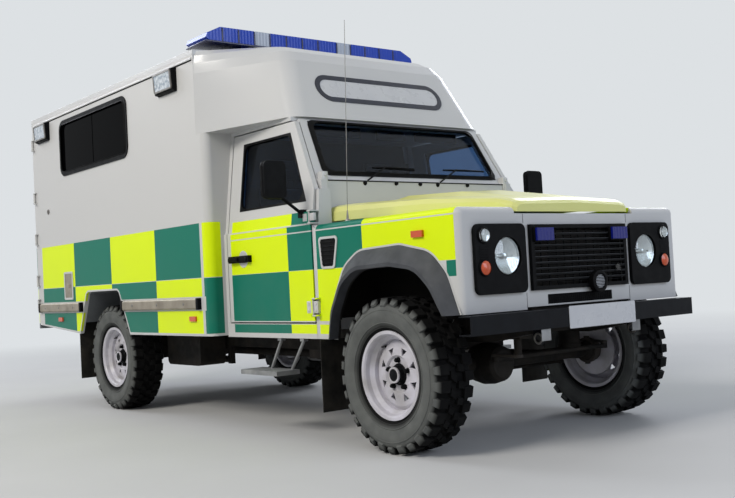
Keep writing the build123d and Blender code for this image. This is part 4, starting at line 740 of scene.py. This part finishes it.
def screen_outline(share, low, high, proud, radius):
    """An outline along the glass's edge: a share of its width, between two heights up the slope."""
    corners = ((-690, low), (690, low), (655, high), (-655, high))
    return rounded([on_screen(across * share, up, proud) for across, up in corners], radius)


screen_sight = screen_outline(0.972, 23, 378, 0.5, 60)
make("windscreen_rubber", seal_rubber,
     (band, screen_outline(1.008, 3, 400, 0.5, 46), screen_sight, SCREEN_OUT * 5 * MM))
make("windscreen_inner_rubber", seal_rubber,
     (band, screen_outline(0.998, 6, 395, -17, 1), screen_sight, SCREEN_OUT * 16 * MM))

# Doors, wings and mirrors
GLASS_EDGE = [(-722, 1320), (-921, 1738), (-1436, 1738), (-1436, 1320)]
GLASS_SIGHT = [(-738, 1334), (-937, 1724), (-1422, 1724), (-1422, 1334)]
HANDLE_BUTTON = [(0, 13), (8, 13), (10, 10), (10, 0)]
HANDLE_DISH = [(-1, 0), (3.5, 0), (3, 30), (5, 44), (5, 50), (0, 54), (-1, 54)]
LEAF_SCREW = [(-1, 8), (1.5, 8), (3, 6), (3, 2), (1.5, 0)]
LEAF_FACE = 854
LEAN_FOOT, LEAN = 1200, 76 / 600
VENT_MIDDLE, VENT_FOOT, LOUVRE_FOOT, LOUVRE_PITCH = -507, 949, 958, 23
BRACKET_BOLT = [(0, 9), (5, 9), (6, 7), (6, 0)]
VENT_OUT = [(-444, 936), (-567, 936), (-584, 1110), (-407, 1110)]
VENT_IN = [(-457, 949), (-555, 949), (-569, 1097), (-422, 1097)]


def on_door(side, corners, radius):
    """An outline on the leaning upper part of a cab door, 14 mm within its skin."""
    return rounded([at(x, side * (810 - (up - LEAN_FOOT) * LEAN), up) for x, up in corners], radius)


for side_name, side in SIDES.items():
    door = "door_" + side_name
    out = ASIDE * side
    make("door_window_rubber_" + side_name, seal_rubber,
         (band, on_door(side, GLASS_EDGE, 3), on_door(side, GLASS_SIGHT, 46), out * 15 * MM), body=door)
    make("door_handle_" + side_name, black_plastic,
         (side_box, side, (-1516, 831, 1008), (-1280, 862, 1050), 6),
         (side_box, side, (-1505, 858, 1018), (-1395, 872, 1040), 5),
         (spun, at(-1308, side * 858, 1029), out, HANDLE_BUTTON, 24), body=door)
    make("door_handle_dish_" + side_name, white_enamel,
         (spun, at(-1376, side * 833.5, 1029), out, HANDLE_DISH, 48), body=door)

    # white hinge leaves each side of the pin, with their screws
    for leaf, ride, near, far in (("door", door, -702, -658), ("wing", "body", -637, -598)):
        forms = []
        for low, high in ((699, 765), (1205, 1247)):
            forms.append((side_box, side, (near, 835, low), (far, LEAF_FACE, high), 2))
            forms += [(spun, at((near + far) / 2, side * LEAF_FACE, level), out, LEAF_SCREW, 16)
                      for level in (low + 15, high - 15)]
        make(f"hinge_leaves_{leaf}_{side_name}", white_enamel, *forms, body=ride)

    make("mirror_pane_" + side_name, mirror_silver,
         (prism, rounded(on_front(-723.4, side, rect(975, 1342, 1095, 1523)), 24), shift(1.5, 0, 0)),
         body=door, smooth=False)
    make("mirror_shell_rib_" + side_name, black_plastic,
         (pipe, rounded(on_front(-701, side, rect(966, 1331, 1104, 1534)), 30), 5, True), body=door)

    # wing vent with its white frame and louvres
    vent_in = rounded(on_side(side * CAB_SKIN, VENT_IN), 14)
    make("wing_vent_frame_" + side_name, white_enamel,
         (band, rounded(on_side(side * CAB_SKIN, VENT_OUT), 22), vent_in, out * 6 * MM))
    louvres = []
    for i in range(6):
        low = LOUVRE_FOOT + i * LOUVRE_PITCH
        half = 47 + (low - VENT_FOOT) * 0.18
        rear, front = VENT_MIDDLE - half, VENT_MIDDLE + half
        louvres.append((prism, [at(rear, side * 838, low), at(front, side * 838, low),
                                at(front, side * 841, low + 6), at(rear, side * 841, low + 6)],
                        shift(0, 0, 3)))
    make("wing_vent_louvres_" + side_name, black_plastic,
         (prism, [p + out * MM for p in vent_in], out * MM), *louvres, smooth=False)
    make("screen_hinge_bracket_" + side_name, white_enamel,
         (side_box, side, (-700, 700, 1392), (-652, 742, 1484), 8),
         *[(spun, at(-652, side * 721, up), FORWARD, BRACKET_BOLT, 6) for up in (1462, 1412)])

# Wipers, washer jets and the aerial on the wing
WIPERS = {
    # pivot across, blade ends as (across, up)
    "right": (-432, (-321, 62), (3, 52)),
    "left": (134, (245, 62), (600, 64)),
}
for side_name, (pivot, blade_in, blade_out) in WIPERS.items():
    foot = on_screen(pivot, -52, 14)
    middle = on_screen(blade_in[0] * 0.72 + blade_out[0] * 0.28, 60, 26)
    blade = [on_screen(blade_in[0] + (blade_out[0] - blade_in[0]) * k / 6, blade_in[1] + 2,
                       16 - abs(k - 3) * 2.2) for k in range(7)]
    low, wide = on_screen(*blade_in, 3), on_screen(*blade_out, 3)
    make("wiper_" + side_name, black_plastic,
         (spun, foot - SCREEN_OUT * 14 * MM, SCREEN_OUT, [(0, 15), (16, 14), (24, 10), (26, 0)], 20),
         (pipe, [foot, foot.lerp(middle, 0.3) + SCREEN_OUT * 8 * MM, middle], 5), (pipe, blade, 5),
         (prism, [low, wide, wide + SCREEN_OUT * 9 * MM, low + SCREEN_OUT * 9 * MM], SCREEN_UP * 6 * MM))
make("washer_jets", black_plastic,
     *[(spun, at(-662, across, 1424), FORWARD, [(0, 12), (10, 11), (16, 6), (17, 0)], 16)
       for across in (-199, -11, 382)])
make("scuttle_seam_rubber", seal_rubber, (box, (-661.5, -752, 1431), (-658, 752, 1437)), smooth=False)
make("whip_aerial", plated_steel,
     (spun, at(-402, -770, 1182), (0.05, -0.02, 1), [(0, 16), (6, 15), (16, 7), (40, 5), (60, 3), (60, 0)],
      16),
     (pipe, [at(-399, -771, 1240), at(-362, -781, 1640), at(-305, -798, 2240)], 1.8, False, 8))

# Front lamps
HEADLAMP_OUT, HEADLAMP_UP = 535, 945
SMALL_LAMP_OUT, SIDELAMP_UP, INDICATOR_UP = 694, 1044, 892
PANEL_FACE = 528
FLUTE_PITCH, FLUTE_REACH = 12, 80
BOWL = [(1, 0), (3, 24), (7, 46), (13, 66), (19, 82), (20, 88), (16, 89)]
BULB_SHIELD = [(3, 0), (3, 13), (16, 13), (19, 8), (19, 0)]
LENS = [(20, 89), (22, 88.5), (27, 74), (31.5, 54), (34.5, 30), (35.6, 0),
        (32.4, 0), (31.4, 30), (28.5, 53), (24, 73), (20, 84), (20, 89)]
HEADLAMP_RIM = [(-14, 89.2), (0.6, 90), (1.6, 91), (1.6, 94), (0, 96)]
SMALL_RIM = [(0, 40), (5, 40), (9, 37), (9, 34), (2, 34), (0, 40)]


def join_doubles(mesh):
    """Joins points that lie on one another, where a profile meets its own start."""
    bmesh.ops.remove_doubles(mesh, verts=mesh.verts, dist=0.00001)


for side_name, side in SIDES.items():
    centre = at(494, side * HEADLAMP_OUT, HEADLAMP_UP)
    bowl = make("headlamp_bowl_" + side_name, chrome, (spun, centre, FORWARD, BOWL, 64))
    make("headlamp_bulb_shield_" + side_name, chrome, (spun, centre, FORWARD, BULB_SHIELD, 24),
         (box, (500, side * HEADLAMP_OUT - 62, 941), (503, side * HEADLAMP_OUT + 62, 949), 1))
    lens = make("headlamp_lens_" + side_name, lamp_glass, (spun, centre, FORWARD, LENS, 64),
                (join_doubles,))
    flutes = []
    for k in range(-6, 7):
        across = k * FLUTE_PITCH
        drop = math.sqrt(FLUTE_REACH ** 2 - across ** 2) * 0.82
        flutes.append((pipe, [at(520 + 3 * math.cos(k / 6) - abs(k) * 0.6, side * HEADLAMP_OUT + across,
                                 HEADLAMP_UP - 6 - drop * s / 6) for s in range(1, 7)], 0.8, False, 6))
    make("headlamp_flutes_" + side_name, lamp_glass, *flutes)
    make("headlamp_rim_" + side_name, seal_rubber,
         (spun, at(PANEL_FACE, side * HEADLAMP_OUT, HEADLAMP_UP), FORWARD, HEADLAMP_RIM, 64))
    for piece in (bowl, lens):
        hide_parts("white_lamps")

    sidelamp = at(PANEL_FACE, side * SMALL_LAMP_OUT, SIDELAMP_UP)
    indicator = at(PANEL_FACE, side * SMALL_LAMP_OUT, INDICATOR_UP)
    make("sidelamp_reflector_" + side_name, chrome,
         (spun, sidelamp, FORWARD, [(1, 0), (1, 31), (7, 32), (7, 0)], 32))
    make("sidelamp_lens_" + side_name, lamp_glass,
         (spun, sidelamp, FORWARD, [(7.5, 0), (7.5, 32), (9, 33), (14, 29), (18, 17), (19, 0)], 32))
    make("small_lamp_rims_" + side_name, black_plastic,
         *[(spun, middle, FORWARD, SMALL_RIM, 32) for middle in (sidelamp, indicator)])
    make("surround_ribs_" + side_name, black_plastic,
         *[(side_box, side, (PANEL_FACE, 664, low), (530.5, 724, low + 5), 1) for low in range(930, 991, 12)],
         smooth=False)

# Scene lamps high on the box: a black housing, a steel bezel, a silvered bowl and a fluted lens
HOUSING_SECTION = ((947, 2302), (988, 2294), (978, 2156), (947, 2146))
HOUSING_LONG = 260
LAMP_FACE, LAMP_FOOT, LAMP_LEAN, LAMP_UP = 977.5, 2156, 0.0725, 2226
for side_name, side in SIDES.items():
    for place_name, middle in (("rear", -4269), ("front", -2038)):
        name = f"scene_lamp_{place_name}_{side_name}_"
        section = on_front(middle - HOUSING_LONG / 2, side, HOUSING_SECTION)
        housing = make(name + "housing", black_plastic, (prism, section, shift(HOUSING_LONG, 0, 0), 5))
        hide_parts("white_lamps")
        corners = rect(-122, 2164, 122, 2288)
        outer, inner = (rounded([at(middle + x * wide, side * (LAMP_FACE + (z - LAMP_FOOT) * LAMP_LEAN),
                                    LAMP_UP + (z - LAMP_UP) * tall) for x, z in corners], radius)
                        for wide, tall, radius in ((1, 1, 14), (0.9, 0.82, 10)))
        out = ASIDE * side * MM
        make(name + "bezel", plated_steel, (band, outer, inner, out * 9))
        make(name + "bowl", chrome, (prism, inner, out * 1.5), smooth=False)
        make(name + "lens", fluted_lens, (prism, [p + out * 3 for p in inner], out * 3), smooth=False)

# Grille fittings, number plate blanks and horn
HORN_LEFT, HORN_UP = 104, 797
HORN_RIM = [(0, 0), (0, 58), (3, 57), (6, 50), (5, 42), (1, 40), (1, 0)]
HORN_REACH, HORN_PITCH = 34, 7.5
GRILLE_FOOT, SLAT_PITCH, SLATS = 791, 28.2, 10
make("horn_rim", black_plastic, (spun, at(552, HORN_LEFT, HORN_UP), FORWARD, HORN_RIM, 40))
louvres = []
for k in range(-4, 5):
    half, level = math.sqrt(HORN_REACH ** 2 - (k * HORN_PITCH) ** 2), HORN_UP + k * HORN_PITCH
    louvres.append((box, (552.5, HORN_LEFT - half, level - 1.8), (555, HORN_LEFT + half, level + 1.8), 0.6))
make("horn_louvres", horn_grey, *louvres)
make("grille_lamp", lamp_glass,
     (spun, at(PANEL_FACE, 278, 864), FORWARD, [(0, 19), (9, 19), (12, 16), (12, 0)], 24))
make("lower_grille_mesh", black_plastic,
     *[(box, (505, left, 701), (507, left + 2, 747)) for left in range(-247, 249, 15)],
     *[(box, (504, -249, up), (506, 249, up + 2)) for up in (708, 720, 732, 744)], smooth=False)
make("grille_blue_lamp_rims", black_plastic,
     *[(band, rounded(on_front(527, side, rect(224, 1007, 356, 1081)), 8),
        rounded(on_front(527, side, rect(224, 1007, 356, 1081, -7)), 4), shift(14, 0, 0))
       for side in SIDES.values()])
for name, material, body, ahead, corners in (
        ("front_plate_blank", plate_white, "body", 580, rect(-184, 574, 339, 685)),
        ("rear_plate_blank", plate_yellow, "rear_door_right", -4555.5, rect(-260, 700, -780, 811))):
    make(name, material, (prism, rounded(on_front(ahead, 1, corners), 8), shift(2.2, 0, 0)), body=body,
         smooth=False)

# Over-cab pod: a blank oval sign with a dark rim, set on the sloping face
POD_LEAN = 0.526
POD_UP, POD_OUT = Vector((-POD_LEAN, 0, 1)).normalized(), Vector((1, 0, POD_LEAN)).normalized()
SIGN_MIDDLE = at(-890 - POD_LEAN * (2036 - 1831), 0, 2036)


def on_pod(half_wide, half_high, radius):
    """A rounded outline on the pod's sloping front face, about the middle of its sign."""
    corners = rect(-half_wide, -half_high, half_wide, half_high)
    return rounded([SIGN_MIDDLE + (ASIDE * left + POD_UP * up + POD_OUT * 0.4) * MM
                    for left, up in corners], radius, 14)


sign_in = on_pod(471, 66, 65.5)
make("sign_rim", sign_rim_blue, (band, on_pod(505, 100, 99.5), sign_in, POD_OUT * 3.5 * MM))
make("sign_blank_face", plate_white, (prism, sign_in, POD_OUT * 1.5 * MM), smooth=False)

# Light bar base and ribs
make("light_bar_base_and_ribs", bar_blue, (box, (-1926, -862, 2424), (-1654, 862, 2436), 4),
     *[(box, (face, across - 5, 2436), (face + 6, across + 5, 2522), 2)
       for across in (-740, -620, -500, -380, -250, -120, 10, 170, 290, 420, 550, 680)
       for face in (-1662, -1924)])

# Box sides: gutter, side window rubber and mullion, lock and rail ends
RAIL_RUNS = ((-4487, -3601), (-2861, -1725))
SIDE_GLASS = (-3906, 1840, -2691, 2240)
LOCK = [(0, 22), (4, 22), (7, 17), (7, 8), (3, 7), (3, 0)]
RAIL_SCREW = [(-1, 11), (2, 9), (3, 5), (3, 0)]
for side_name, side in SIDES.items():
    out = ASIDE * side
    make("gutter_" + side_name, white_enamel,
         (side_box, side, (BOX_REAR, BOX_SKIN, 2306), (BOX_FRONT, 955, 2320), 3), smooth=False)
    # painted shadow: a dark strip under the gutter stands for the shadow that the gutter casts on the wall
    make("gutter_painted_shadow_" + side_name, seal_rubber,
         (side_box, side, (BOX_REAR, BOX_SKIN, 2299), (BOX_FRONT, 949, 2306)), smooth=False)
    sight = rounded(on_side(side * BOX_SKIN, rect(*SIDE_GLASS, -14)), 46, 8)
    make("side_window_rubber_" + side_name, seal_rubber,
         (band, rounded(on_side(side * BOX_SKIN, rect(*SIDE_GLASS, 22)), 82, 8), sight, out * 7 * MM),
         (band, rounded(on_side(side * 933, rect(*SIDE_GLASS)), 60, 8), sight, out * 14 * MM),
         (side_box, side, (-3303, 932, 1842), (-3287, 941, 2238), 2))
    make("locker_lock_" + side_name, plated_steel, (spun, at(-4241, side * BOX_SKIN, 1566), out, LOCK, 24))
    make("rail_end_caps_" + side_name, black_plastic,
         *[(side_box, side, (end - inward * 6, 946, 734), (end + inward * 26, 974.5, 808), 5)
           for run in RAIL_RUNS for end, inward in zip(run, (1, -1))])
    make("rail_screws_" + side_name, plated_steel,
         *[(spun, at(rear + (front - rear) * (k + 0.5) / 3, side * 972, 771), out, RAIL_SCREW, 16)
           for rear, front in RAIL_RUNS for k in range(3)])
FILLER = (-3952, 832, -3775, 1054)
filler_in = rounded(on_side(-BOX_SKIN, rect(*FILLER, -16)), 10)
make("filler_frame", white_enamel,
     (band, rounded(on_side(-BOX_SKIN, rect(*FILLER)), 16), filler_in, shift(0, -6, 0)))
make("filler_flap", anodised_rail, (prism, filler_in, shift(0, -3, 0)),
     (box, (-3890, -954, 930), (-3838, -950, 956), 2), smooth=False)

# White keylines round the wheel openings, where the vinyl stops short of the edge, and bumper fittings
FLARE_LINE = [(-488, 560), (-470, 760), (-370, 940), (-240, 1016), (90, 1028), (314, 982), (418, 876),
              (494, 681)]
BOX_LINE = [(-4523, 630), (-3672, 567), (-3526, 868), (-3494, 885), (-2964, 885), (-2936, 868), (-2772, 567),
            (-1664, 567)]
EYE_RING = [(0, 18), (2, 19), (3, 22), (2, 28), (0, 29), (0, 18)]
for side_name, side in SIDES.items():
    raised = ASIDE * side * 0.9 * MM
    make("arch_keylines_" + side_name, white_enamel,
         (ribbon, rounded(on_side(side * 835.8, FLARE_LINE), 185, 8, False), 10, raised),
         (ribbon, rounded(on_side(side * 946.8, BOX_LINE), 12, 4, False), 13, raised))
    make("front_panel_seams_" + side_name, seal_rubber,
         *[(side_box, side, (507.6, 398.5, low), (508.6, 401, high))
           for low, high in ((684, 764), (1100, 1146))], smooth=False)
    make("lashing_eye_rings_" + side_name, plated_steel,
         *[(spun, at(540, side * left, 540), ASIDE * side * facing, EYE_RING, 28)
           for left, facing in ((373.2, 1), (356.8, -1))])
    make("bumper_tab_" + side_name, step_steel, (side_box, side, (570.5, 318, 528), (574.5, 384, 587), 1.5))

# Painted highlights: lighter grey bars on the front edges of the grille's slats stand for the light they
# catch; and fine blades between them
slats = [GRILLE_FOOT + SLAT_PITCH * i for i in range(SLATS)]
make("grille_slat_painted_highlights", slat_highlight_grey,
     *[(box, (526, -346, level + 2), (527.2, 346, level + 5)) for level in slats[1:]], smooth=False)
blades = [level + SLAT_PITCH / 2 for level in slats]
make("grille_fine_blades", black_plastic,
     *[(box, (514, -349, level - 1.2), (522, 349, level + 1.2)) for level in blades],
     *[(box, (511, across - 1.5, GRILLE_FOOT), (516, across + 1.5, GRILLE_FOOT + SLATS * SLAT_PITCH))
       for across in (-290, -174, -116, -58, 58, 116, 174, 290)], smooth=False)

# Seats: foam cushions under cloth. Each form is made once about the origin, then placed twice
SWELL_CAP, PRESSURE, VOXEL = 14.0, 4.0, 10
SIMULATED_FRAMES = 20
SEAT_OUT = 380


def baked(block):
    """Mesh data of a block with its modifiers applied. The block keeps none of them."""
    form = bpy.data.meshes.new_from_object(block.evaluated_get(bpy.context.evaluated_depsgraph_get()))
    block.modifiers.clear()
    return form


def swollen_cushion(name, half, edge_mm):
    """Mesh data of a foam block with soft edges, swollen by a cloth simulation under pressure."""
    mesh = bmesh.new()
    bmesh.ops.create_cube(mesh, size=2.0)
    bmesh.ops.scale(mesh, vec=Vector(half) * MM, verts=mesh.verts)
    bmesh.ops.bevel(mesh, geom=mesh.edges[:], offset=edge_mm * MM, segments=3, profile=0.6, affect="EDGES")
    block = placed(name, to_shape(name, mesh))
    voxels = block.modifiers.new("voxels", "REMESH")
    voxels.mode = "VOXEL"
    voxels.voxel_size = VOXEL * MM
    block.data = baked(block)
    rest = [vertex.co.copy() for vertex in block.data.vertices]
    cloth = block.modifiers.new("cloth", "CLOTH")
    cloth.settings.use_pressure = True
    cloth.settings.uniform_pressure_force = PRESSURE
    cloth.settings.effector_weights.gravity = 0.0
    for number in range(1, SIMULATED_FRAMES + 1):
        bpy.context.scene.frame_set(number)
    block.data = baked(block)
    bpy.context.scene.frame_set(1)
    for vertex, first in zip(block.data.vertices, rest):
        moved = vertex.co - first
        if moved.length > SWELL_CAP * MM:
            vertex.co = first + moved.normalized() * SWELL_CAP * MM
    rounder = block.modifiers.new("rounder", "SUBSURF")
    rounder.levels = 1
    form = baked(block)
    bpy.data.objects.remove(block)
    return form


def sewn(form, thin, across, lines, depth_mm=7.0, spread_mm=7.0):
    """Presses sewn channels into a form's show face: lines lie at given millimetres along another axis."""
    for vertex in form.vertices:
        if vertex.co[thin] > 0:
            nearest = min(abs(vertex.co[across] / MM - line) for line in lines)
            vertex.co[thin] -= depth_mm * MM * math.exp(-(nearest / spread_mm) ** 2)


def welt_line(form, thin, level_mm, count=90):
    """Points round a form's edge at a level of its thin axis, found on its surface."""
    tree = BVHTree.FromPolygons([v.co for v in form.vertices], [p.vertices for p in form.polygons])
    first, second = (Vector([float(axis == k) for axis in range(3)]) for k in range(3) if k != thin)
    points = []
    for k in range(count):
        ray = round_axis(first, second, k / count)
        begin = ray.copy()
        begin[thin] = level_mm * MM
        hit = tree.ray_cast(begin, -ray)[0]
        points.append(hit + ray * 1.5 * MM)
    return points


SEAT_PARTS = [
    # name, half sizes (ahead, left, up), thin axis, channel axis, channel lines, welt level, place, lean
    ("base", (183, 220, 43), 2, 1, (-118, 118), 24, (-1254, 903), 0.0),
    ("back", (40, 216, 258), 0, 1, (-118, 118), 22, (-1506, 1232), 5.3),
    ("headrest", (25, 118, 66), 0, 2, (0,), 12, (-1538, 1602), 2.0),
]
SEAT_SHELL = ((-1545, 850), (-1568, 1480), (-1561, 1484), (-1538, 850))
SEAT_PLATE = ((-1420, 851), (-1545, 851), (-1552, 1040), (-1500, 1040), (-1470, 940))
for part_name, half, thin, channel_axis, lines, level, (ahead, up), lean in SEAT_PARTS:
    form = swollen_cushion("seat_form_" + part_name, half, 18)
    sewn(form, thin, channel_axis, lines)
    welt = welt_line(form, thin, level)
    for side_name, side in SIDES.items():
        place = (Matrix.Translation(at(ahead, side * SEAT_OUT, up))
                 @ Matrix.Rotation(math.radians(-lean), 4, "Y"))
        mesh = bmesh.new()
        mesh.from_mesh(form)
        bmesh.ops.transform(mesh, matrix=place, verts=mesh.verts)
        cushion = keep(f"seat_{part_name}_{side_name}", mesh, seat_cloth)
        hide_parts("seats")
        make(f"seat_{part_name}_welt_{side_name}", seal_rubber,
             (pipe, [place @ point for point in welt], 3.2, True, 8))
for side_name, side in SIDES.items():
    middle = side * SEAT_OUT
    make("seat_frame_" + side_name, cabin_plastic,
         (prism, on_side(middle - 205, SEAT_SHELL), shift(0, 410, 0)),
         *[(prism, on_side(middle + edge - 4, SEAT_PLATE), shift(0, 8, 0)) for edge in (-222, 222)],
         *[(pipe, [at(-1534, middle + post, 1440), at(-1538, middle + post, 1570)], 6)
           for post in (-55, 55)])

# Cabin fittings: instrument binnacle, gear levers, rear-view mirror, sun visors and door pulls
BINNACLE = ((-795, 1325), (-815, 1362), (-880, 1352), (-912, 1240), (-880, 1225))
VENT = [(0, 34), (10, 34), (12, 30), (12, 0)]
LEVERS = (
    # foot, tip
    (at(-960, -60, 640), at(-1010, -60, 985)),
    (at(-1060, -10, 640), at(-1090, -10, 850)),
)
KNOB = [(-6, 0), (-6, 16), (6, 24), (24, 22), (32, 0)]
GAITER = [(0, 70), (14, 62), (60, 22), (66, 0)]
make("dash_binnacle_and_vents", cabin_plastic, (prism, on_side(-545, BINNACLE), shift(0, 330, 0), 6),
     (box, (-905, 210, 1195), (-878, 560, 1225), 6),
     *[(spun, at(-878, across, 1160), (-1, 0, 0.15), VENT, 24) for across in (-120, -20, 80)])
forms = []
for foot, tip in LEVERS:
    forms += [(pipe, [foot, foot.lerp(tip, 0.6), tip], 7), (spun, tip, UPWARD, KNOB, 20),
              (spun, foot, UPWARD, GAITER, 24)]
make("gear_levers", cabin_plastic, *forms)
mirror_foot = on_screen(0, 372, -26)
make("cab_mirror_and_visors", cabin_plastic, (pipe, [mirror_foot, mirror_foot + shift(-30, 0, -10)], 6),
     (box, (-940, -112, 1722), (-918, 112, 1784), 8),
     *[(box, (-960, across - 180, 1730), (-946, across + 180, 1798), 6) for across in (-400, 400)])
for side_name, side in SIDES.items():
    make("door_pulls_" + side_name, cabin_plastic,
         (side_box, side, (-1330, 742, 1040), (-1130, 786, 1072), 8),
         (side_box, side, (-1452, 770, 1226), (-1300, 787, 1250), 4), body="door_" + side_name)

# Rear doors: window rubbers, and lock bars with their keepers
REAR_GLASS = (190, 1500, 750, 2050)
for side_name, side in SIDES.items():
    rear_door = "rear_door_" + side_name
    make("rear_window_rubber_" + side_name, seal_rubber,
         (band, rounded(on_front(REAR_DOOR_FACE, side, rect(*REAR_GLASS, 20)), 60),
          rounded(on_front(REAR_DOOR_FACE, side, rect(*REAR_GLASS, -16)), 40), shift(14, 0, 0)),
         body=rear_door)
    make("rear_lock_bar_" + side_name, plated_steel,
         *[(side_box, side, (-4560, 96, level - 22), (-4553, 132, level + 22), 3)
           for level in (690, 1420, 2250)],
         (pipe, [at(-4563, side * 114, 680), at(-4563, side * 114, 2290)], 8), body=rear_door)


# Floor, light and camera
PALE = "#DDE1E4"
FLOOR_NEAR, FLOOR_FAR = 4.5, 13.0


def studio_rays(owner):
    """1 for the rays that see the studio's backdrop: the camera's, and those in gloss and glass."""
    rays = add(owner, "LightPath").outputs
    seen = add(owner, "Math MAXIMUM", {0: rays["Is Camera Ray"], 1: rays["Is Glossy Ray"]})
    return add(owner, "Math MAXIMUM", {0: seen, 1: rays["Is Transmission Ray"]})


floor_mesh = bmesh.new()
bmesh.ops.create_grid(floor_mesh, x_segments=1, y_segments=1, size=40)
floor = placed("studio_floor", to_shape("studio_floor", floor_mesh))
# painted studio floor: matt, with broad soft clouds; far from the vehicle it runs out into the backdrop
paint, floor_place = start("studio_floor_paint")
floor_cloud = add(paint, "TexNoise", {"Vector": floor_place, "Scale": per(900), "Detail": 5.0})
floor_colour = add(paint, "Mix", {0: floor_cloud, 6: "#BFBFBE", 7: "#C9C9C8"})
floor_shader = add(paint, "BsdfPrincipled", {"Base Color": floor_colour, "Roughness": 0.85})
distance = add(paint, "VectorMath LENGTH", {0: floor_place}).outputs["Value"]
far = add(paint, "MapRange", {"Value": distance, "From Min": FLOOR_NEAR, "From Max": FLOOR_FAR},
          interpolation_type="SMOOTHSTEP")
runs_out = add(paint, "Math MULTIPLY", {0: far, 1: studio_rays(paint)})
backdrop = add(paint, "Emission", {"Color": PALE, "Strength": 1.0})
add(paint, "OutputMaterial",
    {"Surface": add(paint, "MixShader", {0: runs_out, 1: floor_shader, 2: backdrop})})
floor.data.materials.append(paint)

world = bpy.data.worlds.new("studio_air")
bpy.context.scene.world = world
world.use_nodes = True
world.node_tree.nodes.clear()
room_light = add(world, "Background", {"Color": "#E6ECF4", "Strength": 0.34})
seen_light = add(world, "Background", {"Color": PALE, "Strength": 1.0})
air = add(world, "MixShader", {0: studio_rays(world), 1: room_light, 2: seen_light})
add(world, "OutputWorld", {"Surface": air})

LAMPS = (
    # name, place, the point it faces, size, power, colour
    ("key_lamp", (2.0, -10.0, 8.0), (0, 0, 1.2), 4.0, 880, "#FFFAF2"),
    ("front_lamp", (9.5, 2.0, 4.0), (0.5, 0, 1.0), 5.0, 240, "#E2ECFF"),
    ("rear_lamp", (-9.0, -3.0, 7.0), (0, 0, 1.5), 5.0, 450, "#F2F6FF"),
    ("left_lamp", (-2.0, 10.0, 7.0), (0, 0, 1.2), 5.0, 450, "#F2F6FF"),
)
for name, place, aim, size, power, code in LAMPS:
    light = bpy.data.lights.new(name, "AREA")
    light.size = size
    light.energy = power
    light.color = linear(code)[:3]
    shade = placed(name, light)
    shade.location = place
    shade.rotation_euler = (Vector(aim) - Vector(place)).to_track_quat("-Z", "Y").to_euler()

# The camera as fitted to the photo: its place, and its right, up and back directions
CAMERA_PLACE = (5.7863, -3.9666, 0.8639)
RIGHT = (0.619008, 0.783641, -0.052310)
UP = (0.057091, 0.021531, 0.998137)
BACK = (0.783307, -0.620841, -0.031411)
camera = placed("photo_camera", bpy.data.cameras.new("photo_camera"))
camera.data.sensor_width = 36.0
camera.data.lens = 48.44
camera.data.clip_end = 200.0
camera.matrix_world = (Matrix.Translation(CAMERA_PLACE)
                       @ Matrix((RIGHT, UP, BACK)).transposed().to_4x4())
bpy.context.scene.camera = camera
bpy.context.scene.view_settings.view_transform = "Standard"
